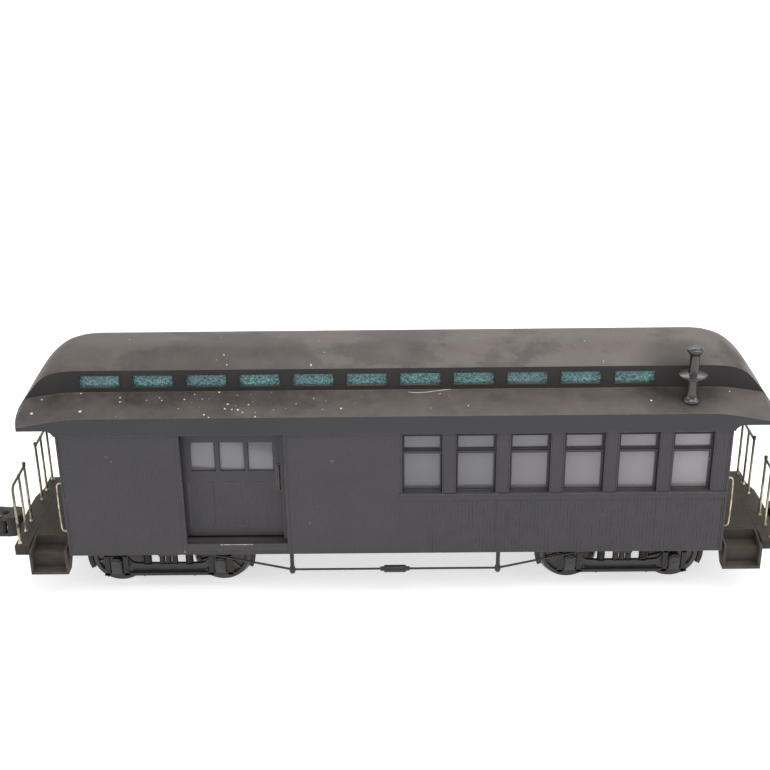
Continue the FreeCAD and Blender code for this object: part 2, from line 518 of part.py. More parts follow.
# ---------------------------------------------------------------- trucks
def truck(side, tx):
    wb = D.wheelBase / 2
    az = D.axleHigh
    fi, fo = D.frameIn, D.frameOut
    frames = []
    for t in (-1, 1):
        ya, yb = (fi, fo) if t > 0 else (-fo, -fi)
        frames.append(box(tx - 46.5, tx + 46.5, ya, yb, 31.0, 34.5))
        frames.append(box(tx - 45, tx + 45, ya, yb, 13.1, 15.5))
        for s in (-1, 1):
            ax = tx + wb * s
            frames.append(box(ax - 8.2, ax - 4.7, ya, yb, 13.4, 34.5))
            frames.append(box(ax + 4.7, ax + 8.2, ya, yb, 13.4, 34.5))
        ya, yb = (28.6, 31.0) if t > 0 else (-31.0, -28.6)
        frames.append(box(tx - 60.5, tx + 60.5, ya, yb, 31.0, 34.5))
    for s in (-1, 1):
        a, b = (9.5, 13.0) if s > 0 else (-13.0, -9.5)
        frames.append(box(tx + a, tx + b, -36.6, 36.6, 31.0, 34.5))
        a, b = (57.0, 60.5) if s > 0 else (-60.5, -57.0)
        frames.append(box(tx + a, tx + b, -31, 31, 31.0, 34.5))
    node(side + "_truck_frame", fuse(*frames))

    bol = fuse(box(tx - 6, tx + 6, -19, 19, 26.3, 36.1), box(tx - 6.8, tx + 6.8, -38.6, 38.6, 28.5, 30.9), box(tx - 9.5, tx + 9.5, -25, 25, 31.0, 34.5))
    node(side + "_truck_bolster", cut(bol, cyl(tx, 0, 20, "z", D.pinRad + D.runFit, 20)))

    eq, boxes, springs = [], [], []
    for t in (-1, 1):
        ya, yb = (33.6, 36.2) if t > 0 else (-36.2, -33.6)
        half = [(23.6, 16.7), (27.3, 17.9), (30.9, 24.4), (32.5, 27.45), (39.6, 27.45), (39.6, 30.4), (32.2, 30.4), (29.0, 26.6), (25.6, 22.2), (22.5, 21.3)]
        pts = [(tx + a, b) for a, b in half] + [(tx - a, b) for a, b in reversed(half)]
        eq.append(pad("XZ", pts, ya, yb))
        for s in (-1, 1):
            ax = tx + wb * s
            yo, yi = (35.0, 40.2) if t > 0 else (-40.2, -35.0)
            b = fuse(box(ax - 3.6, ax + 3.6, yo, yi, 15.6, 27.4), box(ax - 2.6, ax + 2.6, t * 40.2 - (0.8 if t < 0 else 0), t * 40.2 + (0.8 if t > 0 else 0), 17.4, 25.6))
            bore = cyl(ax, 34 if t > 0 else -38.6, az, "y", D.journalRad + D.runFit, 4.6)
            boxes.append(cut(b, bore))
            sx = tx + 14.5 * s
            springs.append(turned([(0, 0), (3.0, 0), (3.0, 1.2), (2.2, 1.5), (2.7, 2.2), (2.2, 2.9), (2.7, 3.6), (2.2, 4.3), (2.7, 5.0), (2.2, 5.7),
                                   (2.7, 6.4), (2.2, 7.1), (2.7, 7.8), (2.2, 8.2), (3.0, 8.5), (3.0, 9.65), (0, 9.65)], sx, t * 36.4, 21.33))
        # three small coils between the equalizer and the end of the bolster
        for k in (-1, 0, 1):
            springs.append(turned([(0, 0), (2.1, 0), (2.1, 0.7), (1.5, 0.95), (2.0, 1.5), (1.5, 2.05), (2.0, 2.6), (1.5, 3.15), (2.0, 3.7), (1.5, 4.25),
                                   (2.0, 4.8), (1.5, 5.35), (2.0, 5.9), (1.5, 6.2), (2.1, 6.45), (2.1, 7.05), (0, 7.05)], tx + 4.4 * k, t * 36.4, 21.35))
    node(side + "_truck_equalizers", comp(*eq))
    node(side + "_truck_journal_boxes", comp(*boxes))
    node(side + "_truck_springs", comp(*springs))

    shoes = []
    for s in (-1, 1):
        ax = tx + wb * s
        for t in (-1, 1):
            ya, yb = (22.0, 26.0) if t > 0 else (-26.0, -22.0)
            pts = []
            for k in range(7):
                a = math.radians(-25 + k * 50 / 6.0)
                pts.append((ax + s * 19.75 * math.cos(a), az + 19.75 * math.sin(a)))
            for k in range(7):
                a = math.radians(25 - k * 50 / 6.0)
                pts.append((ax + s * 23.0 * math.cos(a), az + 23.0 * math.sin(a)))
            hx = ax + s * 21.6
            hang = box(hx - 1.0, hx + 1.0, ya, yb, 26.0, 31.0)
            shoes.append(fuse(pad("XZ", pts, ya, yb), hang))
    node(side + "_truck_brake_shoes", comp(*shoes))

    for s, pos in ((-1, "front"), (1, "rear")):
        ax = tx + wb * s
        rim = [(D.axleRad, D.wheelBack), (5.0, D.wheelBack), (5.0, 21.4), (6.0, 21.9), (15.2, 21.9), (15.6, D.wheelBack + 0.2),
               (D.flangeRad - 0.6, D.wheelBack), (D.flangeRad, D.wheelBack + 0.5), (D.flangeRad - 0.3, D.wheelBack + 1.1), (D.treadRad + 0.25, D.wheelBack + 1.5),
               (D.treadRad, D.wheelBack + 2.1), (D.treadRad - 0.15, D.wheelFace), (16.2, D.wheelFace), (15.6, 24.0), (5.4, 24.0), (4.6, D.wheelFace + 0.4),
               (D.axleRad, D.wheelFace + 0.4)]
        near = turned(rim, ax, 0, az, "y")
        far = turned([(a, -q(b)) for a, b in rim], ax, 0, az, "y")
        node("%s_truck_%s_wheels" % (side, pos), comp(near, far))
        half = D.journalRad
        axle = turned([(0, -38.3), (half - 0.3, -38.3), (half, -38.0), (half, -33.0), (D.axleRad, -32.0), (D.axleRad, 32.0), (half, 33.0), (half, 38.0), (half - 0.3, 38.3), (0, 38.3)],
                      ax, 0, az, "y")
        node("%s_truck_%s_axle" % (side, pos), axle)


truck("front", -D.truckCentre)
truck("rear", D.truckCentre)

# ---------------------------------------------------------------- checks and export
doc.recompute()
bad = []
for o in doc.Objects:
    if any(s in ("Invalid", "Error") for s in o.State):
        bad.append("%s (%s): %s" % (o.Name, o.Label, o.State))
for label, o in nodes.items():
    if o.Shape.isNull() or not o.Shape.isValid() or not o.Shape.Solids:
        bad.append("bad shape: " + label)
if bad:
    raise RuntimeError("\n".join(bad))
os.makedirs("parts", exist_ok=True)
lo = Vector(1e9, 1e9, 1e9)
hi = Vector(-1e9, -1e9, -1e9)
for label, o in nodes.items():
    o.Shape.exportStep("parts/%s.step" % label)
    b = o.Shape.BoundBox
    lo = Vector(min(lo.x, b.XMin), min(lo.y, b.YMin), min(lo.z, b.ZMin))
    hi = Vector(max(hi.x, b.XMax), max(hi.y, b.YMax), max(hi.z, b.ZMax))
    print("%-30s solids %2d volume %9.1f  x %.1f..%.1f y %.1f..%.1f z %.1f..%.1f" % (
        label, len(o.Shape.Solids), o.Shape.Volume, b.XMin, b.XMax, b.YMin, b.YMax, b.ZMin, b.ZMax))
print(len(nodes), "nodes, box", lo, hi)
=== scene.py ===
import bpy, bmesh, math, json, random
from mathutils import Vector, Matrix, noise


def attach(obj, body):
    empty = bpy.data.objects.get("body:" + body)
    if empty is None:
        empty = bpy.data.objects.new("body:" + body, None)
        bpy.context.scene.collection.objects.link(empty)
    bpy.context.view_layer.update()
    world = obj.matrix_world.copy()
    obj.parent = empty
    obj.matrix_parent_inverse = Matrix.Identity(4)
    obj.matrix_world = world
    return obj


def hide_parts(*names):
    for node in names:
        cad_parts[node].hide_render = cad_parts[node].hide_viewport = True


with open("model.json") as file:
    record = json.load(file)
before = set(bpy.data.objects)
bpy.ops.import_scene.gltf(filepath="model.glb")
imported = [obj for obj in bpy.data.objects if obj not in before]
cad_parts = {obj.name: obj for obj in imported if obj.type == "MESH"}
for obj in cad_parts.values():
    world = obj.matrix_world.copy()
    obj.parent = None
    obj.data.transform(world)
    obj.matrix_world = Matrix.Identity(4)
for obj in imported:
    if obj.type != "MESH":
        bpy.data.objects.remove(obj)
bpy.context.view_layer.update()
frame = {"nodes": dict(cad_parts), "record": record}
nodes = frame["nodes"]
node_body = {n: b for b, ns in frame["record"]["behaviour"]["bodies"].items() for n in ns}
MM = 0.001


# ------------------------------------------------------------------ materials
def mat_new(name):
    m = bpy.data.materials.new(name)
    m.use_nodes = True
    nt = m.node_tree
    nt.nodes.clear()
    out = nt.nodes.new("ShaderNodeOutputMaterial")
    b = nt.nodes.new("ShaderNodeBsdfPrincipled")
    nt.links.new(b.outputs[0], out.inputs[0])
    return m, nt, b


def lin(c):
    return tuple(((x / 255.0 + 0.055) / 1.055) ** 2.4 if x / 255.0 > 0.04045 else x / 255.0 / 12.92 for x in c) + (1.0,)


def N(nt, kind, **kw):
    n = nt.nodes.new(kind)
    for k, v in kw.items():
        if k in n.inputs:
            n.inputs[k].default_value = v
        else:
            setattr(n, k, v)
    return n


def coords(nt, scale=(1, 1, 1)):
    tc = nt.nodes.new("ShaderNodeTexCoord")
    mp = nt.nodes.new("ShaderNodeMapping")
    mp.inputs["Scale"].default_value = scale
    nt.links.new(tc.outputs["Object"], mp.inputs["Vector"])
    return mp.outputs["Vector"]


def noise_fac(nt, vec, scale, detail=4.0, rough=0.55, lo=0.35, hi=0.65):
    n = N(nt, "ShaderNodeTexNoise", Scale=scale, Detail=detail, Roughness=rough)
    nt.links.new(vec, n.inputs["Vector"])
    r = nt.nodes.new("ShaderNodeMapRange")
    r.inputs["From Min"].default_value = lo
    r.inputs["From Max"].default_value = hi
    nt.links.new(n.outputs["Fac"], r.inputs["Value"])
    return r.outputs["Result"]


def mix(nt, fac, a, b):
    m = nt.nodes.new("ShaderNodeMix")
    m.data_type = "RGBA"
    for idx, v in ((6, a), (7, b)):
        if isinstance(v, tuple):
            m.inputs[idx].default_value = v
        else:
            nt.links.new(v, m.inputs[idx])
    if isinstance(fac, float):
        m.inputs[0].default_value = fac
    else:
        nt.links.new(fac, m.inputs[0])
    return m.outputs[2]


def mathn(nt, op, a, b=None, clamp=False):
    m = nt.nodes.new("ShaderNodeMath")
    m.operation = op
    m.use_clamp = clamp
    for i, v in enumerate((a, b)):
        if v is None:
            continue
        if isinstance(v, (int, float)):
            m.inputs[i].default_value = v
        else:
            nt.links.new(v, m.inputs[i])
    return m.outputs[0]


def edge_wear(nt, radius, power=1.0):
    """1 at sharp convex edges, 0 on flats."""
    bev = N(nt, "ShaderNodeBevel", samples=6)
    bev.inputs["Radius"].default_value = radius
    geo = nt.nodes.new("ShaderNodeNewGeometry")
    dot = nt.nodes.new("ShaderNodeVectorMath")
    dot.operation = "DOT_PRODUCT"
    nt.links.new(bev.outputs[0], dot.inputs[0])
    nt.links.new(geo.outputs["Normal"], dot.inputs[1])
    inv = mathn(nt, "SUBTRACT", 1.0, dot.outputs["Value"])
    return mathn(nt, "MULTIPLY", inv, power, clamp=True)


def up_facing(nt, lo=0.3, hi=0.95):
    geo = nt.nodes.new("ShaderNodeNewGeometry")
    sep = nt.nodes.new("ShaderNodeSeparateXYZ")
    nt.links.new(geo.outputs["Normal"], sep.inputs[0])
    r = nt.nodes.new("ShaderNodeMapRange")
    r.inputs["From Min"].default_value = lo
    r.inputs["From Max"].default_value = hi
    nt.links.new(sep.outputs["Z"], r.inputs["Value"])
    return r.outputs["Result"]


def bump(nt, height, dist, strength=1.0, prev=None):
    b = nt.nodes.new("ShaderNodeBump")
    b.inputs["Strength"].default_value = strength
    b.inputs["Distance"].default_value = dist
    nt.links.new(height, b.inputs["Height"])
    if prev is not None:
        nt.links.new(prev, b.inputs["Normal"])
    return b.outputs["Normal"]


def paint(name, base, tint, dust, dust_amount=0.25, rough=(0.45, 0.62), edge_wear_and_glint=None, edge_wear_and_glint_amt=0.0, grain=0.00004, metal=0.0, spec=0.5,
          blotch=22.0, specks=0.0, streak=False):
    """Painted plastic or metal: two-tone mottling, dust that settles on upward faces, worn edges (on the wheels
    lightened into a painted glint along the rims) and a fine tooth.
    """
    m, nt, b = mat_new(name)
    vec = coords(nt)
    big = noise_fac(nt, vec, blotch, 3.0, 0.6, 0.38, 0.66)
    fine = noise_fac(nt, vec, 420.0, 3.0, 0.6, 0.3, 0.7)
    col = mix(nt, big, lin(base), lin(tint))
    if streak:
        sv = coords(nt, (1.0, 1.0, 0.06))
        st = noise_fac(nt, sv, 260.0, 3.0, 0.6, 0.52, 0.8)
        col = mix(nt, mathn(nt, "MULTIPLY", st, 0.35), col, lin(tuple(min(255, c + 26) for c in base)))
    up = up_facing(nt)
    dmask = noise_fac(nt, vec, 60.0, 5.0, 0.65, 0.36, 0.7)
    dfac = mathn(nt, "MULTIPLY", mathn(nt, "ADD", mathn(nt, "MULTIPLY", up, dust_amount), dust_amount * 0.18), mathn(nt, "ADD", mathn(nt, "MULTIPLY", dmask, 0.75), 0.25), clamp=True)
    col = mix(nt, dfac, col, lin(dust))
    if specks:
        vo = nt.nodes.new("ShaderNodeTexVoronoi")
        vo.feature = "F1"
        vo.inputs["Scale"].default_value = 260.0
        nt.links.new(vec, vo.inputs["Vector"])
        near = mathn(nt, "LESS_THAN", vo.outputs["Distance"], 0.16)
        pick = N(nt, "ShaderNodeSeparateColor")
        nt.links.new(vo.outputs["Color"], pick.inputs[0])
        some = mathn(nt, "GREATER_THAN", pick.outputs[0], 1.0 - specks)
        patch = noise_fac(nt, vec, 14.0, 2.0, 0.5, 0.45, 0.6)
        sf = mathn(nt, "MULTIPLY", mathn(nt, "MULTIPLY", near, some), mathn(nt, "ADD", mathn(nt, "MULTIPLY", patch, 0.85), 0.1))
        col = mix(nt, sf, col, lin((196, 188, 174)))
    if edge_wear_and_glint is not None:
        rubbed_edge_and_highlight = edge_wear(nt, 0.0006, 5.0)
        wm = noise_fac(nt, vec, 130.0, 4.0, 0.7, 0.4, 0.62)
        wf = mathn(nt, "MULTIPLY", mathn(nt, "MULTIPLY", rubbed_edge_and_highlight, wm), edge_wear_and_glint_amt, clamp=True)
        col = mix(nt, wf, col, lin(edge_wear_and_glint))
    nt.links.new(col, b.inputs["Base Color"])
    rr = nt.nodes.new("ShaderNodeMapRange")
    rr.inputs["To Min"].default_value = rough[0]
    rr.inputs["To Max"].default_value = rough[1]
    nt.links.new(dmask, rr.inputs["Value"])
    nt.links.new(rr.outputs["Result"], b.inputs["Roughness"])
    b.inputs["Metallic"].default_value = metal
    b.inputs["Specular IOR Level"].default_value = spec
    nrm = bump(nt, fine, grain, 0.6)
    nt.links.new(nrm, b.inputs["Normal"])
    return m


def roof_mat():
    """Dull brown roof paint: darker on the lower slopes and towards the front end, dusty in patches, black round the
    smokejack.
    """
    m, nt, b = mat_new("roof_paint")
    vec = coords(nt)
    sep = nt.nodes.new("ShaderNodeSeparateXYZ")
    nt.links.new(vec, sep.inputs[0])
    big = noise_fac(nt, coords(nt, (1.0, 1.5, 1.5)), 13.0, 5.0, 0.6, 0.5, 0.545)
    mid = noise_fac(nt, coords(nt, (1.0, 1.3, 1.3)), 28.0, 4.0, 0.55, 0.42, 0.64)
    fine = noise_fac(nt, vec, 420.0, 3.0, 0.6, 0.3, 0.7)
    col = mix(nt, mathn(nt, "MULTIPLY", big, 0.75), lin((84, 77, 73)), lin((55, 50, 48)))
    col = mix(nt, mathn(nt, "MULTIPLY", mid, 0.45), col, lin((94, 86, 80)))
    ay = nt.nodes.new("ShaderNodeMapRange")
    ay.inputs["From Min"].default_value = 0.027
    ay.inputs["From Max"].default_value = 0.029
    nt.links.new(mathn(nt, "ABSOLUTE", sep.outputs["Y"]), ay.inputs["Value"])
    fx = nt.nodes.new("ShaderNodeMapRange")
    fx.inputs["From Min"].default_value = -0.06
    fx.inputs["From Max"].default_value = -0.2
    nt.links.new(sep.outputs["X"], fx.inputs["Value"])
    col = mix(nt, mathn(nt, "MULTIPLY", ay.outputs["Result"], mathn(nt, "ADD", mathn(nt, "MULTIPLY", fx.outputs["Result"], 0.3), 0.45)), col, lin((56, 50, 49)))
    front = nt.nodes.new("ShaderNodeMapRange")
    front.inputs["From Min"].default_value = 0.02
    front.inputs["From Max"].default_value = -0.25
    nt.links.new(sep.outputs["X"], front.inputs["Value"])
    ff = mathn(nt, "MULTIPLY", front.outputs["Result"], mathn(nt, "ADD", mathn(nt, "MULTIPLY", big, 0.25), 0.46))
    col = mix(nt, ff, col, lin((50, 45, 44)))
    # soot round the smokejack
    dv = nt.nodes.new("ShaderNodeVectorMath")
    dv.operation = "DISTANCE"
    nt.links.new(coords(nt, (0.75, 1.0, 0.0)), dv.inputs[0])
    dv.inputs[1].default_value = (0.188 * 0.75, -0.034, 0.0)
    so = nt.nodes.new("ShaderNodeMapRange")
    so.inputs["From Min"].default_value = 0.026
    so.inputs["From Max"].default_value = 0.009
    nt.links.new(dv.outputs["Value"], so.inputs["Value"])
    col = mix(nt, mathn(nt, "MULTIPLY", so.outputs["Result"], 0.92, clamp=True), col, lin((28, 25, 24)))
    up = up_facing(nt)
    dmask = noise_fac(nt, vec, 60.0, 5.0, 0.65, 0.36, 0.7)
    col = mix(nt, mathn(nt, "MULTIPLY", mathn(nt, "MULTIPLY", up, 0.28), dmask), col, lin((112, 101, 92)))
    # lighter rubbed edges, strong enough to also serve as a painted highlight along the hood's drip edge and the window
    # openings
    rubbed_edge_and_highlight = edge_wear(nt, 0.0006, 5.0)
    col = mix(nt, mathn(nt, "MULTIPLY", rubbed_edge_and_highlight, 0.7, clamp=True), col, lin((128, 120, 112)))
    nt.links.new(col, b.inputs["Base Color"])
    rr = nt.nodes.new("ShaderNodeMapRange")
    rr.inputs["To Min"].default_value = 0.42
    rr.inputs["To Max"].default_value = 0.64
    nt.links.new(dmask, rr.inputs["Value"])
    nt.links.new(rr.outputs["Result"], b.inputs["Roughness"])
    b.inputs["Specular IOR Level"].default_value = 0.4
    nt.links.new(bump(nt, fine, 0.00003, 0.6), b.inputs["Normal"])
    return m


M = {}
M["coach_body"] = paint("coach_body", (53, 50, 54), (47, 45, 49), (82, 77, 74), 0.22, (0.38, 0.5), (112, 106, 102), 0.5, 0.00002, blotch=10.0, spec=0.35)
M["roof_paint"] = roof_mat()
M["underframe_paint"] = paint("underframe_paint", (30, 28, 28), (38, 36, 35), (70, 64, 58), 0.25, (0.5, 0.7), spec=0.3)
M["truss_metal"] = paint("truss_metal", (34, 32, 33), (42, 40, 40), (80, 74, 68), 0.2, (0.35, 0.5), (110, 104, 98), 0.4, metal=0.1, spec=0.4)
M["platform_paint"] = paint("platform_paint", (43, 36, 31), (33, 28, 25), (78, 67, 56), 0.45, (0.5, 0.72), (120, 106, 92), 0.4, blotch=40.0, spec=0.3)
M["sash_paint"] = paint("sash_paint", (50, 47, 50), (43, 40, 43), (78, 72, 70), 0.2, (0.35, 0.5), (104, 98, 96), 0.4, spec=0.35)
M["truck_casting"] = paint("truck_casting", (33, 31, 31), (41, 39, 38), (74, 68, 62), 0.28, (0.42, 0.6), (98, 92, 86), 0.35, blotch=60.0, spec=0.35)
M["spring_steel"] = paint("spring_steel", (38, 36, 36), (48, 45, 44), (84, 78, 70), 0.25, (0.3, 0.45), (120, 114, 106), 0.5, metal=0.2)
M["coupler_casting"] = paint("coupler_casting", (32, 29, 29), (42, 38, 36), (70, 62, 55), 0.3, (0.42, 0.6), (90, 82, 76), 0.4, spec=0.35)
M["pin_steel"] = paint("pin_steel", (120, 116, 110), (96, 92, 88), (104, 95, 86), 0.2, (0.3, 0.45), metal=0.9)
M["axle_steel"] = paint("axle_steel", (120, 116, 110), (96, 92, 88), (104, 95, 86), 0.2, (0.3, 0.45), metal=0.9)
# painted glint: the light edge colour on the wheels stands in for light glinting off the rims, on top of real wear
M["wheel_metal"] = paint("wheel_metal", (78, 74, 71), (60, 57, 55), (104, 96, 88), 0.3, (0.28, 0.45), (170, 164, 156), 0.7, metal=0.75)


def brass_mat():
    m, nt, b = mat_new("rail_brass")
    vec = coords(nt)
    worn = noise_fac(nt, vec, 90.0, 5.0, 0.65, 0.36, 0.56)
    sep = nt.nodes.new("ShaderNodeSeparateXYZ")
    nt.links.new(vec, sep.inputs[0])
    hr = nt.nodes.new("ShaderNodeMapRange")
    hr.inputs["From Min"].default_value = 0.082
    hr.inputs["From Max"].default_value = 0.056
    nt.links.new(sep.outputs["Z"], hr.inputs["Value"])
    f = mathn(nt, "MULTIPLY", worn, mathn(nt, "ADD", mathn(nt, "MULTIPLY", hr.outputs["Result"], 0.85), 0.15), clamp=True)
    col = mix(nt, f, lin((52, 50, 40)), lin((196, 184, 150)))
    nt.links.new(col, b.inputs["Base Color"])
    mt = mathn(nt, "MULTIPLY", f, 0.9)
    nt.links.new(mt, b.inputs["Metallic"])
    rr = nt.nodes.new("ShaderNodeMapRange")
    rr.inputs["To Min"].default_value = 0.5
    rr.inputs["To Max"].default_value = 0.26
    nt.links.new(f, rr.inputs["Value"])
    nt.links.new(rr.outputs["Result"], b.inputs["Roughness"])
    nt.links.new(bump(nt, noise_fac(nt, vec, 700.0, 3.0), 0.00004, 0.5), b.inputs["Normal"])
    return m


def grab_mat():
    m, nt, b = mat_new("grab_brass")
    vec = coords(nt)
    worn = noise_fac(nt, vec, 160.0, 4.0, 0.6, 0.34, 0.6)
    col = mix(nt, worn, lin((104, 98, 84)), lin((190, 178, 150)))
    nt.links.new(col, b.inputs["Base Color"])
    b.inputs["Metallic"].default_value = 0.7
    b.inputs["Roughness"].default_value = 0.32
    nt.links.new(bump(nt, noise_fac(nt, vec, 700.0, 3.0), 0.00003, 0.5), b.inputs["Normal"])
    return m


def teal_mat():
    m, nt, b = mat_new("teal_glazing")
    vec = coords(nt)
    vo = nt.nodes.new("ShaderNodeTexVoronoi")
    vo.inputs["Scale"].default_value = 900.0
    vo.feature = "SMOOTH_F1"
    nt.links.new(vec, vo.inputs["Vector"])
    big = noise_fac(nt, vec, 120.0, 3.0, 0.6, 0.35, 0.65)
    col = mix(nt, noise_fac(nt, vec, 900.0, 3.0, 0.7, 0.4, 0.6), lin((30, 74, 76)), lin((118, 176, 168)))
    lone = noise_fac(nt, coords(nt, (1.0, 0.0, 0.0)), 19.0, 1.0, 0.5, 0.44, 0.6)
    col = mix(nt, mathn(nt, "MULTIPLY", lone, 0.45), col, lin((92, 108, 116)))
    col = mix(nt, mathn(nt, "MULTIPLY", big, 0.5), col, lin((66, 104, 120)))
    nt.links.new(col, b.inputs["Base Color"])
    b.inputs["Roughness"].default_value = 0.16
    b.inputs["Coat Weight"].default_value = 0.5
    b.inputs["Transmission Weight"].default_value = 0.1
    nt.links.new(bump(nt, vo.outputs["Distance"], 0.0006, 0.9), b.inputs["Normal"])
    return m


def window_mat():
    m, nt, b = mat_new("window_glazing")
    vec = coords(nt)
    sep = nt.nodes.new("ShaderNodeSeparateXYZ")
    nt.links.new(vec, sep.inputs[0])
    # painted reflection: the glass runs from dark at the front end to bright at the rear end, standing in for the
    # studio lights reflected in the panes
    r = nt.nodes.new("ShaderNodeMapRange")
    r.inputs["From Min"].default_value = -0.14
    r.inputs["From Max"].default_value = 0.21
    nt.links.new(sep.outputs["X"], r.inputs["Value"])
    haze = noise_fac(nt, vec, 55.0, 4.0, 0.6, 0.3, 0.72)
    ramp = nt.nodes.new("ShaderNodeValToRGB")
    el = ramp.color_ramp.elements
    el[0].position, el[0].color = 0.20, lin((98, 96, 100))
    el[1].position, el[1].color = 1.0, lin((132, 127, 129))
    for p_, c_ in ((0.33, (79, 77, 81)), (0.55, (88, 86, 89)), (0.85, (112, 108, 110))):
        e_ = el.new(p_)
        e_.color = lin(c_)
    nt.links.new(r.outputs["Result"], ramp.inputs["Fac"])
    col = ramp.outputs["Color"]
    col = mix(nt, mathn(nt, "MULTIPLY", haze, 0.35), col, lin((100, 97, 101)))
    nt.links.new(col, b.inputs["Base Color"])
    b.inputs["Roughness"].default_value = 0.22
    b.inputs["Coat Weight"].default_value = 0.6
    b.inputs["Coat Roughness"].default_value = 0.06
    nt.links.new(bump(nt, noise_fac(nt, coords(nt, (1, 1, 0.5)), 30.0, 2.0), 0.0006, 0.25), b.inputs["Normal"])
    return m


M["jack_gloss"] = paint("jack_gloss", (46, 42, 40), (34, 32, 31), (84, 76, 68), 0.15, (0.14, 0.28), (120, 112, 104), 0.3, 0.00001, spec=0.7)
M["worn_edge"] = paint("worn_edge", (186, 181, 176), (104, 100, 98), (120, 110, 100), 0.2, (0.35, 0.5), blotch=420.0)
M["handle_metal"] = paint("handle_metal", (74, 70, 69), (48, 46, 45), (80, 74, 70), 0.2, (0.26, 0.4), (140, 134, 128), 0.6, metal=0.3)
M["tread_steel"] = paint("tread_steel", (150, 146, 142), (96, 92, 88), (112, 104, 96), 0.25, (0.24, 0.4), (190, 184, 176), 0.6, metal=0.7, blotch=120.0)
M["step_paint"] = paint("step_paint", (62, 55, 50), (48, 42, 38), (90, 80, 70), 0.4, (0.5, 0.72), (126, 114, 100), 0.4, blotch=60.0, spec=0.3)
M["journal_grey"] = paint("journal_grey", (62, 60, 60), (50, 48, 48), (84, 78, 74), 0.3, (0.36, 0.52), (112, 106, 102), 0.4, blotch=80.0, spec=0.35)
M["equalizer_grey"] = paint("equalizer_grey", (60, 58, 57), (50, 48, 48), (88, 82, 77), 0.25, (0.34, 0.5), (126, 120, 116), 0.5, blotch=70.0, spec=0.35)
M["fascia_paint"] = paint("fascia_paint", (44, 42, 45), (39, 38, 41), (80, 76, 75), 0.2, (0.38, 0.5), (118, 112, 108), 0.6, 0.00002, blotch=9.0, spec=0.35)
M["fleck_paint"] = paint("fleck_paint", (206, 198, 184), (168, 158, 144), (150, 140, 128), 0.1, (0.6, 0.8), blotch=200.0)
M["scuff_paint"] = paint("scuff_paint", (98, 94, 97), (70, 67, 70), (90, 86, 84), 0.1, (0.6, 0.8), blotch=500.0)
# painted shade: the roof paint darkened for the vertical clerestory band and its window lips, which stand in shadow
# under the top light
M["band_painted_shade"] = paint("band_painted_shade", (42, 38, 37), (34, 31, 31), (76, 70, 66), 0.25, (0.5, 0.66), (84, 78, 72), 0.3, 0.00003, blotch=16.0, spec=0.3)
M["rail_brass"] = brass_mat()
M["teal_glazing"] = teal_mat()
M["window_glazing"] = window_mat()
M["grab_brass"] = grab_mat()

slots = {s["node"]: s["material_slot"] for s in frame["record"]["subparts"]}
for n, o in nodes.items():
    o.data.materials.clear()
    o.data.materials.append(M[slots[n]])

nodes["platform_steps"].data.materials[0] = M["step_paint"]

